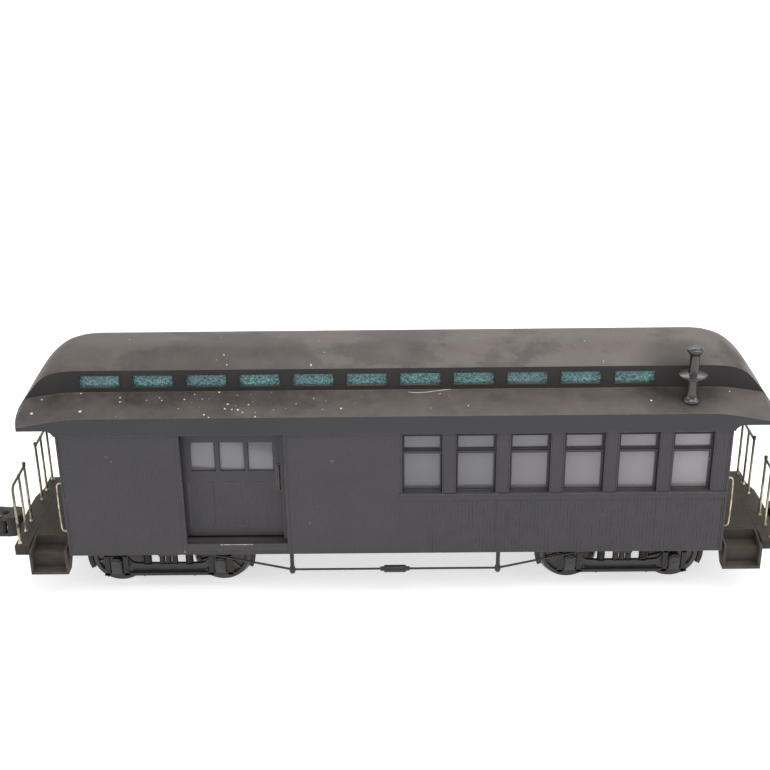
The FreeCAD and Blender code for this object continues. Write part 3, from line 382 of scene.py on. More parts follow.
# ------------------------------------------------------------------ mesh building
class Build:
    """Collects parts in millimetres into one mesh."""

    def __init__(self):
        self.bm = bmesh.new()
        self.mat = 0

    def face(self, vs):
        try:
            f = self.bm.faces.new(vs)
            f.material_index = self.mat
            return f
        except ValueError:
            return None

    def vert(self, x, y, z):
        return self.bm.verts.new((x, y, z))

    def box(self, x0, x1, y0, y1, z0, z1):
        v = [self.vert(x, y, z) for z in (z0, z1) for x, y in ((x0, y0), (x1, y0), (x1, y1), (x0, y1))]
        for q in ((0, 3, 2, 1), (4, 5, 6, 7), (0, 1, 5, 4), (1, 2, 6, 5), (2, 3, 7, 6), (3, 0, 4, 7)):
            self.face([v[i] for i in q])

    def board(self, x0, x1, z0, z1, y0, y1, ch, axis="y"):
        """Board with its long edges chamfered on the outer side y1."""
        pts = [(x0, y0), (x1, y0), (x1, y1 - (ch if y1 > y0 else -ch)), (x1 - ch, y1), (x0 + ch, y1), (x0, y1 - (ch if y1 > y0 else -ch))]
        self.prism([(a, b) for a, b in pts], "z", z0, z1)

    def prism(self, pts, axis, a, b):
        def at(u, w, h):
            return {"x": (h, u, w), "y": (u, h, w), "z": (u, w, h)}[axis]
        lo = [self.vert(*at(u, w, a)) for u, w in pts]
        hi = [self.vert(*at(u, w, b)) for u, w in pts]
        n = len(pts)
        self.face(lo)
        self.face(hi)
        for i in range(n):
            self.face([lo[i], lo[(i + 1) % n], hi[(i + 1) % n], hi[i]])

    def lathe(self, prof, c, axis="z", segs=48, closed=True):
        rings = []
        for r, h in prof:
            ring = []
            if r < 1e-6:
                ring = [self.vert(*self.place(c, axis, 0, 0, h))]
            else:
                for k in range(segs):
                    a = 2 * math.pi * k / segs
                    ring.append(self.vert(*self.place(c, axis, r * math.cos(a), r * math.sin(a), h)))
            rings.append(ring)
        for p, q in zip(rings, rings[1:]):
            if len(p) == 1 and len(q) == 1:
                continue
            for k in range(segs):
                if len(p) == 1:
                    self.face([p[0], q[k], q[(k + 1) % segs]])
                elif len(q) == 1:
                    self.face([p[k], q[0], p[(k + 1) % segs]])
                else:
                    self.face([p[k], q[k], q[(k + 1) % segs], p[(k + 1) % segs]])

    @staticmethod
    def place(c, axis, u, w, h):
        if axis == "z":
            return (c[0] + u, c[1] + w, c[2] + h)
        if axis == "y":
            return (c[0] + u, c[1] + h, c[2] + w)
        return (c[0] + h, c[1] + u, c[2] + w)

    def tube(self, pts, r, segs=12, cap=True, radii=None):
        pts = [Vector(p) for p in pts]
        n = len(pts)
        tang = []
        for i in range(n):
            t = (pts[min(i + 1, n - 1)] - pts[max(i - 1, 0)]).normalized()
            tang.append(t)
        ref = Vector((0, 0, 1)) if abs(tang[0].z) < 0.9 else Vector((1, 0, 0))
        u = tang[0].cross(ref).normalized()
        rings = []
        for i in range(n):
            u = (u - tang[i] * u.dot(tang[i])).normalized()
            w = tang[i].cross(u)
            rr = radii[i] if radii else r
            rings.append([self.vert(*(pts[i] + (u * math.cos(2 * math.pi * k / segs) + w * math.sin(2 * math.pi * k / segs)) * rr)) for k in range(segs)])
        for p, q in zip(rings, rings[1:]):
            for k in range(segs):
                self.face([p[k], p[(k + 1) % segs], q[(k + 1) % segs], q[k]])
        if cap:
            for ring, d, i in ((rings[0], -1, 0), (rings[-1], 1, n - 1)):
                rr = (radii[i] if radii else r)
                tip = self.vert(*(pts[i] + tang[i] * d * rr * 0.55))
                for k in range(segs):
                    self.face([ring[k], ring[(k + 1) % segs], tip])

    def helix(self, c, r, wire, z0, z1, turns, segs=18, sides=8):
        pts = []
        n = int(turns * segs)
        for i in range(n + 1):
            a = 2 * math.pi * i / segs
            pts.append((c[0] + r * math.cos(a), c[1] + r * math.sin(a), z0 + wire + (z1 - z0 - 2 * wire) * i / n))
        self.tube(pts, wire, sides)

    def bolt(self, c, axis="y", r=0.8, h=0.7, sign=1, hexa=True):
        prof = [(0, 0), (r, 0), (r, h * 0.75 * sign), (r * 0.8, h * sign), (0, h * sign)]
        self.lathe(prof, c, axis, 6 if hexa else 14)

    def mirror(self, axis):
        geo = self.bm.verts[:] + self.bm.edges[:] + self.bm.faces[:]
        dup = bmesh.ops.duplicate(self.bm, geom=geo)
        vs = [g for g in dup["geom"] if isinstance(g, bmesh.types.BMVert)]
        k = {"x": Vector((-1, 1, 1)), "y": Vector((1, -1, 1))}[axis]
        for v in vs:
            v.co = v.co * k
        return self

    def out(self, name, mats, body="car_body", replaces=(), slot=None, bevel=0.2, segs=2, angle=35.0, smooth=40.0, extra=None):
        bmesh.ops.recalc_face_normals(self.bm, faces=self.bm.faces[:])
        bmesh.ops.scale(self.bm, vec=(MM, MM, MM), verts=self.bm.verts[:])
        me = bpy.data.meshes.new(name)
        self.bm.to_mesh(me)
        self.bm.free()
        o = bpy.data.objects.new(name, me)
        bpy.context.scene.collection.objects.link(o)
        for m in (mats if isinstance(mats, (list, tuple)) else [mats]):
            me.materials.append(m)
        if extra:
            extra(o)
        dress(o, bevel, segs, angle, smooth)
        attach(o, body)
        if replaces:
            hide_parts(*replaces)
        return o


def dress(o, bevel=0.2, segs=2, angle=35.0, smooth=40.0, weld=False):
    me = o.data
    for p in me.polygons:
        p.use_smooth = True
    if weld:
        w = o.modifiers.new("weld", "WELD")
        w.merge_threshold = 0.000002
    if bevel:
        b = o.modifiers.new("soft_edges", "BEVEL")
        b.width = bevel * MM
        b.segments = segs
        b.limit_method = "ANGLE"
        b.angle_limit = math.radians(angle)
        b.harden_normals = True
        b.use_clamp_overlap = True
    else:
        es = o.modifiers.new("sharp", "EDGE_SPLIT")
        es.split_angle = math.radians(smooth)


def rnd(*k):
    return random.Random("-".join(str(a) for a in k))


# ------------------------------------------------------------------ roof
ST = [(200.0, 178.5, 165.0, 149.5, 141.8), (206.0, 178.1, 165.0, 149.5, 141.7), (212.0, 177.1, 164.9, 149.5, 141.4), (222.0, 173.4, 164.0, 149.0, 140.3),
      (230.0, 167.4, 161.7, 147.8, 138.8), (236.0, 161.0, 157.3, 146.9, 137.7), (241.0, 154.2, 151.7, 146.0, 136.8), (246.0, 146.8, 145.3, 144.6, 136.1),
      (250.0, 140.2, 139.5, 138.8, 135.6), (254.2, 134.4, 134.3, 134.2, 134.0)]


def curve_at(x, k):
    x = abs(x)
    if x <= ST[0][0]:
        return ST[0][k]
    for i in range(len(ST) - 1):
        if x <= ST[i + 1][0] or i == len(ST) - 2:
            a, b = ST[i], ST[i + 1]
            p = ST[i - 1] if i > 0 else (a[0] - (b[0] - a[0]),) + tuple(a[1:])
            n = ST[i + 2] if i + 2 < len(ST) else (b[0] + (b[0] - a[0]),) + tuple(2 * b[j] - a[j] for j in range(1, 5))
            t = min(1.0, (x - a[0]) / (b[0] - a[0]))
            h = b[0] - a[0]
            ma = (b[k] - p[k]) / (b[0] - p[0]) * h if i > 0 else 0.0
            mb = (n[k] - a[k]) / (n[0] - a[0]) * h
            return (2 * t ** 3 - 3 * t ** 2 + 1) * a[k] + (t ** 3 - 2 * t ** 2 + t) * ma + (-2 * t ** 3 + 3 * t ** 2) * b[k] + (t ** 3 - t ** 2) * mb
    return ST[-1][k]


def low_at(x):
    x = abs(x)
    if x <= 222.83:
        return 129.0
    if x < 228.7:
        return 127.0 + math.sqrt(6.2 ** 2 - (228.7 - x) ** 2)
    return 133.2


BOW = (53.5 ** 2 + 6.8 ** 2) / 13.6
ys_low = [-53.5, -50, -45, -40, -36.5, -32, -28]
ys_mid = [-28 + 56.0 * i / 24 for i in range(25)]
cols = [(y, "s") for y in ys_low] + [(y, "a") for y in ys_mid] + [(-y, "s") for y in reversed(ys_low)]


def top_z(y, kind, x):
    if kind == "s":
        ze, zb = curve_at(x, 4), curve_at(x, 3)
        t = (53.5 - abs(y)) / 25.5
        return ze + (zb - ze) * t + 0.55 * math.sin(math.pi * t) * max(0.0, min(1.0, (zb - ze) / 6.0))
    zr, zt = curve_at(x, 1), curve_at(x, 2)
    h = max(0.05, zr - zt)
    r = (28.0 ** 2 + h * h) / (2 * h)
    return zr - r + math.sqrt(max(0.0, r * r - y * y))


half = [0, 50, 100, 150, 190, 200] + [202 + 2 * i for i in range(10)] + [222.25, 222.83, 223.2, 223.8, 224.6, 225.6, 226.8, 228.0, 228.7] + [230 + 1.5 * i for i in range(16)] + [253.4, 254.2]
half = sorted(set(half))
rows = [-v for v in reversed(half) if v > 0] + half


def squeeze(x, y):
    """Plan-view bow of the hood tips."""
    a = abs(x)
    if a <= 228.7:
        return x
    tip = 253.6 - BOW + math.sqrt(BOW * BOW - y * y)
    a = 228.7 + (a - 228.7) * (tip - 228.7) / (254.2 - 228.7)
    return math.copysign(a, x)


rb = Build()
grid_t, grid_b = [], []
for x in rows:
    rt_, rb_ = [], []
    for y, kind in cols:
        xx = squeeze(x, y)
        rt_.append(rb.vert(xx, y, top_z(y, kind, xx)))
    seen = {}
    for y, kind in cols:
        key = round(y, 3)
        if key not in seen:
            xx = squeeze(x, y)
            seen[key] = rb.vert(xx, y, low_at(xx))
        rb_.append(seen[key])
    grid_t.append(rt_)
    grid_b.append(rb_)
nc = len(cols)
for i in range(len(rows) - 1):
    for j in range(nc - 1):
        # the vertical clerestory band faces take slot 2, the roof paint darkened as painted shade
        rb.mat = 2 if cols[j][0] == cols[j + 1][0] else 0
        rb.face([grid_t[i][j], grid_t[i + 1][j], grid_t[i + 1][j + 1], grid_t[i][j + 1]])
        if grid_b[i][j] is not grid_b[i][j + 1]:
            rb.mat = 1 if abs(rows[i]) > 222 else 0
            rb.face([grid_b[i][j + 1], grid_b[i + 1][j + 1], grid_b[i + 1][j], grid_b[i][j]])
    for j in (0, nc - 1):
        rb.mat = 1
        rb.face([grid_b[i][j], grid_b[i + 1][j], grid_t[i + 1][j], grid_t[i][j]])
for i in (0, len(rows) - 1):
    j = 0
    rb.mat = 1
    while j < nc - 1:
        if grid_b[i][j] is grid_b[i][j + 1]:
            j += 1
            continue
        poly = [grid_b[i][j], grid_b[i][j + 1], grid_t[i][j + 1], grid_t[i][j]]
        if j > 0 and grid_b[i][j - 1] is grid_b[i][j]:
            poly.append(grid_t[i][j - 1])
        if j + 2 < nc and grid_b[i][j + 2] is grid_b[i][j + 1]:
            poly.insert(2, grid_t[i][j + 2])
        rb.face(poly)
        j += 1


def cutter(fn):
    b = Build()
    fn(b)
    bmesh.ops.recalc_face_normals(b.bm, faces=b.bm.faces[:])
    bmesh.ops.scale(b.bm, vec=(MM, MM, MM), verts=b.bm.verts[:])
    me = bpy.data.meshes.new("cutter")
    b.bm.to_mesh(me)
    b.bm.free()
    o = bpy.data.objects.new("cutter", me)
    bpy.context.scene.collection.objects.link(o)
    return o


def cavity(b):
    arc = [(-25.5 * t, 175.6 - 13.2 * t * t) for t in [-1 + k / 6.0 for k in range(13)]]
    b.prism([(-49, 127.5), (-49, 137.4), (-25.5, 146.4)] + [(-a, z) for a, z in arc] + [(25.5, 146.4), (49, 137.4), (49, 127.5)], "x", -210.5, 210.5)


def cavity2(b):
    b.prism([(-49, 127), (-49, 136.3), (-25.6, 144.9), (25.6, 144.9), (49, 136.3), (49, 127)], "x", -219.25, 219.25)


CW = [(-195.0 + 35.5 * i) for i in range(11)]


def clerestory_holes(b):
    for cx in CW:
        for t in (-1, 1):
            b.box(cx - 13.2, cx + 13.2, t * 24.0, t * 31.0, 152.6, 161.2)


def roof_cut(o):
    for fn in (cavity, cavity2, clerestory_holes):
        c = cutter(fn)
        m = o.modifiers.new("cut", "BOOLEAN")
        m.operation = "DIFFERENCE"
        m.solver = "EXACT"
        m.object = c
        dg = bpy.context.evaluated_depsgraph_get()
        me = bpy.data.meshes.new_from_object(o.evaluated_get(dg))
        o.modifiers.clear()
        old = o.data
        o.data = me
        bpy.data.meshes.remove(old)
        bpy.data.objects.remove(c)


rb.out("roof_shell", [M["roof_paint"], M["fascia_paint"], M["band_painted_shade"]], replaces=("roof",), bevel=0.32, segs=3, angle=38.0, extra=roof_cut)

# small paint flecks and grit stuck to the roof
fl = Build()
spots = [(-207.6, -28.9), (-180.7, -33.7), (-233.5, -31.7), (-238.1, -43.4), (-205.0, -46.6), (-154.7, -34.4), (-162.8, -36.8), (-140.8, -45.0), (-131.7, -31.2), (-126.1, -36.0),
         (-138.0, -36.2), (-115.6, -29.1), (-108.8, -41.3), (-101.6, -46.4), (-98.5, -48.7), (-95.0, -41.8), (-89.9, -52.6), (-123.4, -50.5), (-120.2, -52.8), (-63.9, -41.6),
         (-52.5, -36.4), (-34.2, -46.1), (-112.1, -20.2), (-109.9, -25.7), (-54.2, -26.2), (-105.7, -46.1), (-110.2, -45.4), (-152.6, -37.0), (-180.2, -38.2), (49.1, -44.8),
         (168.9, -41.3), (222.0, -32.4), (127.6, -11.9)]
rf = rnd("flecks")
for _ in range(46):
    spots.append((rf.uniform(-235, 60), rf.choice((-1, 1)) * rf.uniform(29, 53)))
for _ in range(22):
    spots.append((rf.uniform(-235, 235), rf.uniform(-26, 26)))
for n_, (fx, fy) in enumerate(spots):
    base_r = (0.36 + 0.32 * rf.random()) if n_ < 33 else (0.14 + 0.2 * rf.random())
    if n_ in (3, 4, 11, 12, 13):
        base_r *= 1.5
    kind_ = "s" if abs(fy) >= 28 else "a"
    m_ = 9
    ring = []
    cz = top_z(fy, kind_, fx)
    for k in range(m_):
        a = 2 * math.pi * k / m_
        rr = base_r * (0.7 + 0.6 * rf.random())
        px, py = fx + rr * math.cos(a) * 1.15, fy + rr * math.sin(a)
        if kind_ == "s":
            py = math.copysign(max(28.05, min(53.4, abs(py))), fy)
        ring.append((px, py, top_z(py, kind_, px)))
    lo_r = [fl.vert(a, b, c - 0.05) for a, b, c in ring]
    up_r = [fl.vert(fx + (a - fx) * 0.75, fy + (b - fy) * 0.75, c + 0.08) for a, b, c in ring]
    tip = fl.vert(fx, fy, cz + 0.13)
    for k in range(m_):
        fl.face([lo_r[k], lo_r[(k + 1) % m_], up_r[(k + 1) % m_], up_r[k]])
        fl.face([up_r[k], up_r[(k + 1) % m_], tip])
    fl.face(lo_r)
# a bent hair of dried paint on the lower slope
fl.tube([(10.0, -31.0, top_z(-31.0, "s", 10) + 0.1), (15.5, -31.7, top_z(-31.7, "s", 15.5) + 0.15), (22.5, -31.3, top_z(-31.3, "s", 22.5) + 0.15), (29, -29.9, top_z(-29.9, "s", 29) + 0.15), (38, -28.3, top_z(-28.3, "s", 38) + 0.1)], 0.2, 6)
fl.out("roof_flecks", M["fleck_paint"], bevel=0, smooth=60.0)

# scuffs on the side wall: shallow chips of bare primer
sc = Build()
for cx_, cz_, w_, h_ in ((-41.0, 108.8, 2.6, 2.2), (-57.2, 62.5, 0.8, 3.4), (-51.5, 75.0, 1.0, 1.0), (207.6, 108.0, 1.0, 1.2), (-190.0, 113.5, 1.8, 1.0), (-187.0, 110.2, 1.2, 1.0)):
    m_ = 11
    ring = []
    for k in range(m_):
        a = 2 * math.pi * k / m_
        rr = 0.65 + 0.6 * rf.random()
        ring.append((cx_ + w_ * rr * 0.5 * math.cos(a), cz_ + h_ * rr * 0.5 * math.sin(a)))
    sc.prism(ring, "y", -52.26, -52.0)
sc.out("wall_scuffs", M["scuff_paint"], bevel=0.05)

# clerestory window frames: a thin raised lip around each opening
cf = Build()
for cx in CW:
    for a, b_, c, d in ((cx - 14.0, cx + 14.0, 161.2, 161.9), (cx - 14.0, cx + 14.0, 151.9, 152.6), (cx - 14.0, cx - 13.2, 152.5, 161.3), (cx + 13.2, cx + 14.0, 152.5, 161.3)):
        cf.box(a, b_, -28.35, -27.6, c, d)
cf.mirror("y")
# the lips take the band's darkened roof paint, a painted shade
cf.out("clerestory_frames", M["band_painted_shade"], bevel=0.15)

# teal sheet with its pebbled face, one pane in each opening
tg = Build()
for cx in CW:
    nx_, nz_ = 46, 16
    g = []
    for i in range(nx_ + 1):
        col_ = []
        for k in range(nz_ + 1):
            px, pz = cx - 14.2 + 28.4 * i / nx_, 151.4 + 10.8 * k / nz_
            h = noise.cell(Vector((px * 0.9, pz * 0.9, 3.0))) * 0.22 + noise.noise(Vector((px * 1.7, pz * 1.7, cx))) * 0.35
            h += noise.noise(Vector((px * 0.35, pz * 0.35, 9.0))) * 0.15
            h = max(-0.42, min(0.42, h))
            col_.append(tg.vert(px, -25.05 + h * 0.9 - 0.0, pz))
        g.append(col_)
    bk = [tg.vert(cx - 14.2, -24.65, 151.4), tg.vert(cx + 14.2, -24.65, 151.4), tg.vert(cx + 14.2, -24.65, 162.2), tg.vert(cx - 14.2, -24.65, 162.2)]
    for i in range(nx_):
        for k in range(nz_):
            tg.face([g[i][k], g[i + 1][k], g[i + 1][k + 1], g[i][k + 1]])
    tg.face(bk)
    tg.face([g[i][0] for i in range(nx_ + 1)] + [bk[1], bk[0]])
    tg.face([g[i][nz_] for i in range(nx_ + 1)] + [bk[2], bk[3]])
    tg.face([g[0][k] for k in range(nz_ + 1)] + [bk[3], bk[0]])
    tg.face([g[nx_][k] for k in range(nz_ + 1)] + [bk[2], bk[1]])
tg.mirror("y")
tg.out("clerestory_panes", M["teal_glazing"], replaces=("clerestory_glazing",), bevel=0, smooth=80.0)

# ------------------------------------------------------------------ smokejack
sj = Build()
jc = (195.0, -40.5, 146.2)
slope_cut = lambda y: 145.75 + (y + 40.5) * 7.7 / 25.5
sj.lathe([(0, -1.6), (5.9, -1.6), (6.3, -1.2), (6.35, 0.2), (5.6, 1.0), (4.7, 1.9), (4.1, 3.2), (3.85, 5.0), (3.85, 13.2), (4.1, 14.0), (4.0, 14.9), (3.6, 15.3), (6.4, 15.6), (8.6, 16.6), (9.2, 17.3), (9.25, 17.9),
          (8.4, 18.3), (6.0, 18.7), (3.5, 19.1), (3.2, 19.8), (3.15, 31.0), (3.5, 31.8), (4.3, 32.9), (5.3, 34.1), (5.6, 34.8), (5.5, 35.5), (4.7, 36.2), (3.0, 36.9), (1.2, 37.15), (0, 37.18)], jc, "z", 56)
sj.out("smokejack_pipe", M["jack_gloss"], replaces=("smokejack",), bevel=0, smooth=50.0)
flash = Build()
for k in range(1):
    ring_o, ring_i, top_i = [], [], []
    for s_ in range(56):
        a = 2 * math.pi * s_ / 56
        for rr, dz, lst in ((6.4, -0.02, ring_o), (5.4, 0.5, ring_i), (4.4, 1.2, top_i)):
            yy = -40.5 + rr * math.sin(a)
            lst.append(flash.vert(195.0 + rr * math.cos(a), yy, slope_cut(yy) + dz))
    for p, q in ((ring_o, ring_i), (ring_i, top_i)):
        for s_ in range(56):
            flash.face([p[s_], p[(s_ + 1) % 56], q[(s_ + 1) % 56], q[s_]])
    low = [flash.vert(v.co.x, v.co.y, v.co.z - 0.6) for v in ring_o]
    for s_ in range(56):
        flash.face([low[s_], low[(s_ + 1) % 56], ring_o[(s_ + 1) % 56], ring_o[s_]])
    flash.face(low)
    flash.face(top_i)
flash.out("smokejack_flashing", M["roof_paint"], bevel=0, smooth=60.0)

# ------------------------------------------------------------------ side walls: tongue-and-groove boards, posts, belt rail, sills
WC = [18.7 + 35.64 * i for i in range(6)]
holes_x = [(c - 13.25, c + 13.25, 83.9, 128.3) for c in WC] + [(-141.0, -72.8, 41.4, 128.3)]


def siding(side):
    b = Build()
    edges = {-219.4, 219.4}
    x = -219.4
    while x < 219.4:
        edges.add(round(x, 3))
        x += 2.45
    for a, c, _, _ in holes_x:
        edges.add(round(a - 0.9, 3))
        edges.add(round(c + 0.9, 3))
    ed = sorted(edges)
    for x0, x1 in zip(ed, ed[1:]):
        if x1 - x0 < 0.35:
            continue
        mid = (x0 + x1) / 2
        spans = [(38.25, 128.9)] if mid < 2.6 else [(38.25, 79.1), (83.5, 128.9)]
        for a, c, z0, z1 in holes_x:
            if a - 0.9 < mid < c + 0.9:
                new = []
                for p, q in spans:
                    lo_, hi_ = z0 - 0.5, z1 + 0.9
                    if q <= lo_ or p >= hi_:
                        new.append((p, q))
                        continue
                    if p < lo_:
                        new.append((p, lo_))
                    if q > hi_:
                        new.append((hi_, q))
                spans = new
        ch = 0.035 if mid < 20 else 0.06
        r = rnd("board", side, round(x0, 2)).random()
        for p, q in spans:
            if q - p > 0.5:
                c2 = ch * ((1.3 + 1.3 * r) if (mid > 20 and q < 80) else (0.5 + 0.8 * r))
                b.board(x0 + 0.01, x1 - 0.01, p, q, -51.85, -52.15 - (0.05 if mid > 20 else 0.015) * r, c2)
    if side > 0:
        for v in b.bm.verts:
            v.co.y = -v.co.y
    return b


for side, nm in ((-1, "left"), (1, "right")):
    b = siding(side)
    b.out(nm + "_siding", M["coach_body"], bevel=0, smooth=15.0)
    t = Build()
    # corner posts with their groove
    for s in (-1, 1):
        a = sorted((s * 219.55, s * 220.55))
        t.board(a[0], a[1], 38.1, 129.0, -51.9, -52.25, 0.12)
        a = sorted((s * 220.85, s * 222.25))
        t.board(a[0], a[1], 38.1, 129.0, -51.9, -52.35, 0.12)
    # belt rail and its cap
    t.prism([(-51.9, 79.0), (-52.62, 79.0), (-52.85, 79.3), (-52.85, 82.4), (-53.25, 82.7), (-53.25, 83.45), (-53.05, 83.62), (-51.9, 83.75)], "x", 3.0, 222.25)
    # window trims
    for c in WC:
        for a, d in ((c - 14.05, c - 13.2), (c + 13.2, c + 14.05)):
            t.board(a, d, 83.7, 129.0, -51.9, -52.45, 0.15)
        t.prism([(-51.9, 128.3), (-52.45, 128.3), (-52.45, 128.95), (-51.9, 128.98)], "x", c - 14.0, c + 14.0)
        t.prism([(-49.6, 83.5), (-52.6, 83.4), (-53.15, 83.55), (-53.15, 84.05), (-52.7, 84.2), (-49.6, 84.55)], "x", c - 14.3, c + 14.3)
    # door posts and threshold
    for a, d in ((-143.6, -141.0), (-72.8, -70.8)):
        t.board(a, d, 39.0, 128.7, -51.9, -52.7, 0.2)
        e_ = d if a < -100 else a
        i_ = 1 if a < -100 else -1
        t.prism([(e_, -51.9), (e_, -52.9), (e_ - 0.15 * i_, -53.1), (e_ - 0.45 * i_, -53.1), (e_ - 0.6 * i_, -52.9), (e_ - 0.6 * i_, -51.9)], "z", 46.6, 128.6)
    # stop that the door closes against
    t.prism([(-75.3, -48.85), (-71.5, -48.85), (-71.5, -43.3), (-75.3, -43.3)], "z", 46.7, 126.4)
    t.prism([(-51.9, 41.6), (-52.9, 41.6), (-53.15, 42.0), (-53.15, 46.1), (-52.8, 46.5), (-49.2, 46.62), (-49.2, 45.9), (-51.9, 45.7)], "x", -141.0, -72.8)
    # bottom bead
    t.prism([(-51.9, 38.0), (-52.3, 38.0), (-52.4, 38.25), (-52.3, 38.8), (-51.9, 38.9)], "x", -222.2, 222.2)
    if side > 0:
        for v in t.bm.verts:
            v.co.y = -v.co.y
    t.out(nm + "_wall_trim", M["coach_body"], bevel=0.1, segs=2)

# worn bright edge of the door threshold
we = Build()
we.prism([(-53.05, 46.0), (-53.2, 46.05), (-53.2, 46.2), (-53.02, 46.4), (-52.9, 46.42)], "x", -116.5, -96.5)
we.prism([(-118.4, -53.1), (-118.2, -53.26), (-117.4, -53.28), (-117.1, -53.2), (-117.2, -52.8), (-118.2, -52.7)], "z", 45.7, 46.75)
we.prism([(-119.4, -53.0), (-119.3, -53.22), (-118.9, -53.24), (-118.8, -53.0)], "z", 41.7, 42.2)
we.prism([(-143.3, -52.6), (-143.2, -52.8), (-142.9, -52.8), (-142.8, -52.6)], "z", 39.8, 41.4)
we.mirror("y")
we.out("threshold_strip", M["worn_edge"], bevel=0.04)

# ------------------------------------------------------------------ windows
for side, nm in ((-1, "left"), (1, "right")):
    b = Build()
    for c in WC:
        w = 14.1
        z0, z1 = 83.05, 128.85
        # outer frame, stepped towards the glass
        for (xa, xb, za, zb) in ((c - w, c - 11.8, z0, z1), (c + 11.8, c + w, z0, z1)):
            b.box(xa, xb, -49.0, -47.3, za, zb)
        b.box(c - 11.9, c + 11.9, -49.0, -47.3, z0, 85.2)
        b.box(c - 11.9, c + 11.9, -49.0, -47.3, 125.2, z1)
        # lower sash stiles with a bead around the glass
        for (xa, xb) in ((c - 12.9, c - 11.9), (c + 11.9, c + 12.9)):
            b.board(xa, xb, 84.6, 113.2, -48.9, -49.55, 0.25)
        b.prism([(-48.9, 84.3), (-49.6, 84.3), (-49.6, 84.9), (-48.9, 85.15)], "x", c - 12.8, c + 12.8)
        # meeting rail with the slot above it
        b.prism([(-47.4, 112.6), (-49.75, 112.7), (-49.95, 113.0), (-49.95, 114.1), (-49.7, 114.45), (-48.4, 114.5), (-48.4, 115.55), (-47.4, 115.6)], "x", c - 12.9, c + 12.9)
        # upper sash bead
        for (xa, xb) in ((c - 12.4, c - 11.75), (c + 11.75, c + 12.4)):
            b.board(xa, xb, 115.6, 125.6, -48.9, -49.35, 0.2)
        b.prism([(-48.9, 125.15), (-49.4, 125.2), (-49.4, 125.9), (-48.9, 126.1)], "x", c - 12.3, c + 12.3)
    if side > 0:
        for v in b.bm.verts:
            v.co.y = -v.co.y
    b.out(nm + "_sash_frames", M["sash_paint"], replaces=(nm + "_window_sashes",), bevel=0.12)

pn = Build()
for side in (-1, 1):
    for i, c in enumerate(WC):
        for j, (za, zb) in enumerate(((84.4, 113.4), (114.8, 126.4))):
            r = rnd("pane", side, i, j)
            tx_, tz_ = r.uniform(-0.008, 0.008), r.uniform(-0.012, 0.012)
            nx_, nz_ = 14, 12
            g, gb = [], []
            for a in range(nx_ + 1):
                col_, colb = [], []
                for k in range(nz_ + 1):
                    u, w = a / nx_, k / nz_
                    px, pz = c - 12.9 + 25.8 * u, za + (zb - za) * w
                    d = 0.10 * math.sin(math.pi * u) * math.sin(math.pi * w) * r.choice((1.0,)) + (u - 0.5) * 25.8 * tx_ + (w - 0.5) * (zb - za) * tz_
                    d += 0.05 * noise.noise(Vector((px * 0.16, pz * 0.16, i + 20.0 * j)))
                    y = -46.98 - max(-0.18, min(0.18, d))
                    col_.append(pn.vert(px, -side * y if side > 0 else y, pz))
                    colb.append(pn.vert(px, (46.62 if side > 0 else -46.62), pz))
                g.append(col_)
                gb.append(colb)
            for a in range(nx_):
                for k in range(nz_):
                    pn.face([g[a][k], g[a + 1][k], g[a + 1][k + 1], g[a][k + 1]])
                    pn.face([gb[a][k], gb[a][k + 1], gb[a + 1][k + 1], gb[a + 1][k]])
            for a in range(nx_):
                pn.face([g[a][0], gb[a][0], gb[a + 1][0], g[a + 1][0]])
                pn.face([g[a][nz_], g[a + 1][nz_], gb[a + 1][nz_], gb[a][nz_]])
            for k in range(nz_):
                pn.face([g[0][k], g[0][k + 1], gb[0][k + 1], gb[0][k]])
                pn.face([g[nx_][k], gb[nx_][k], gb[nx_][k + 1], g[nx_][k + 1]])
pn.out("window_panes", M["window_glazing"], replaces=("window_glazing",), bevel=0, smooth=30.0)

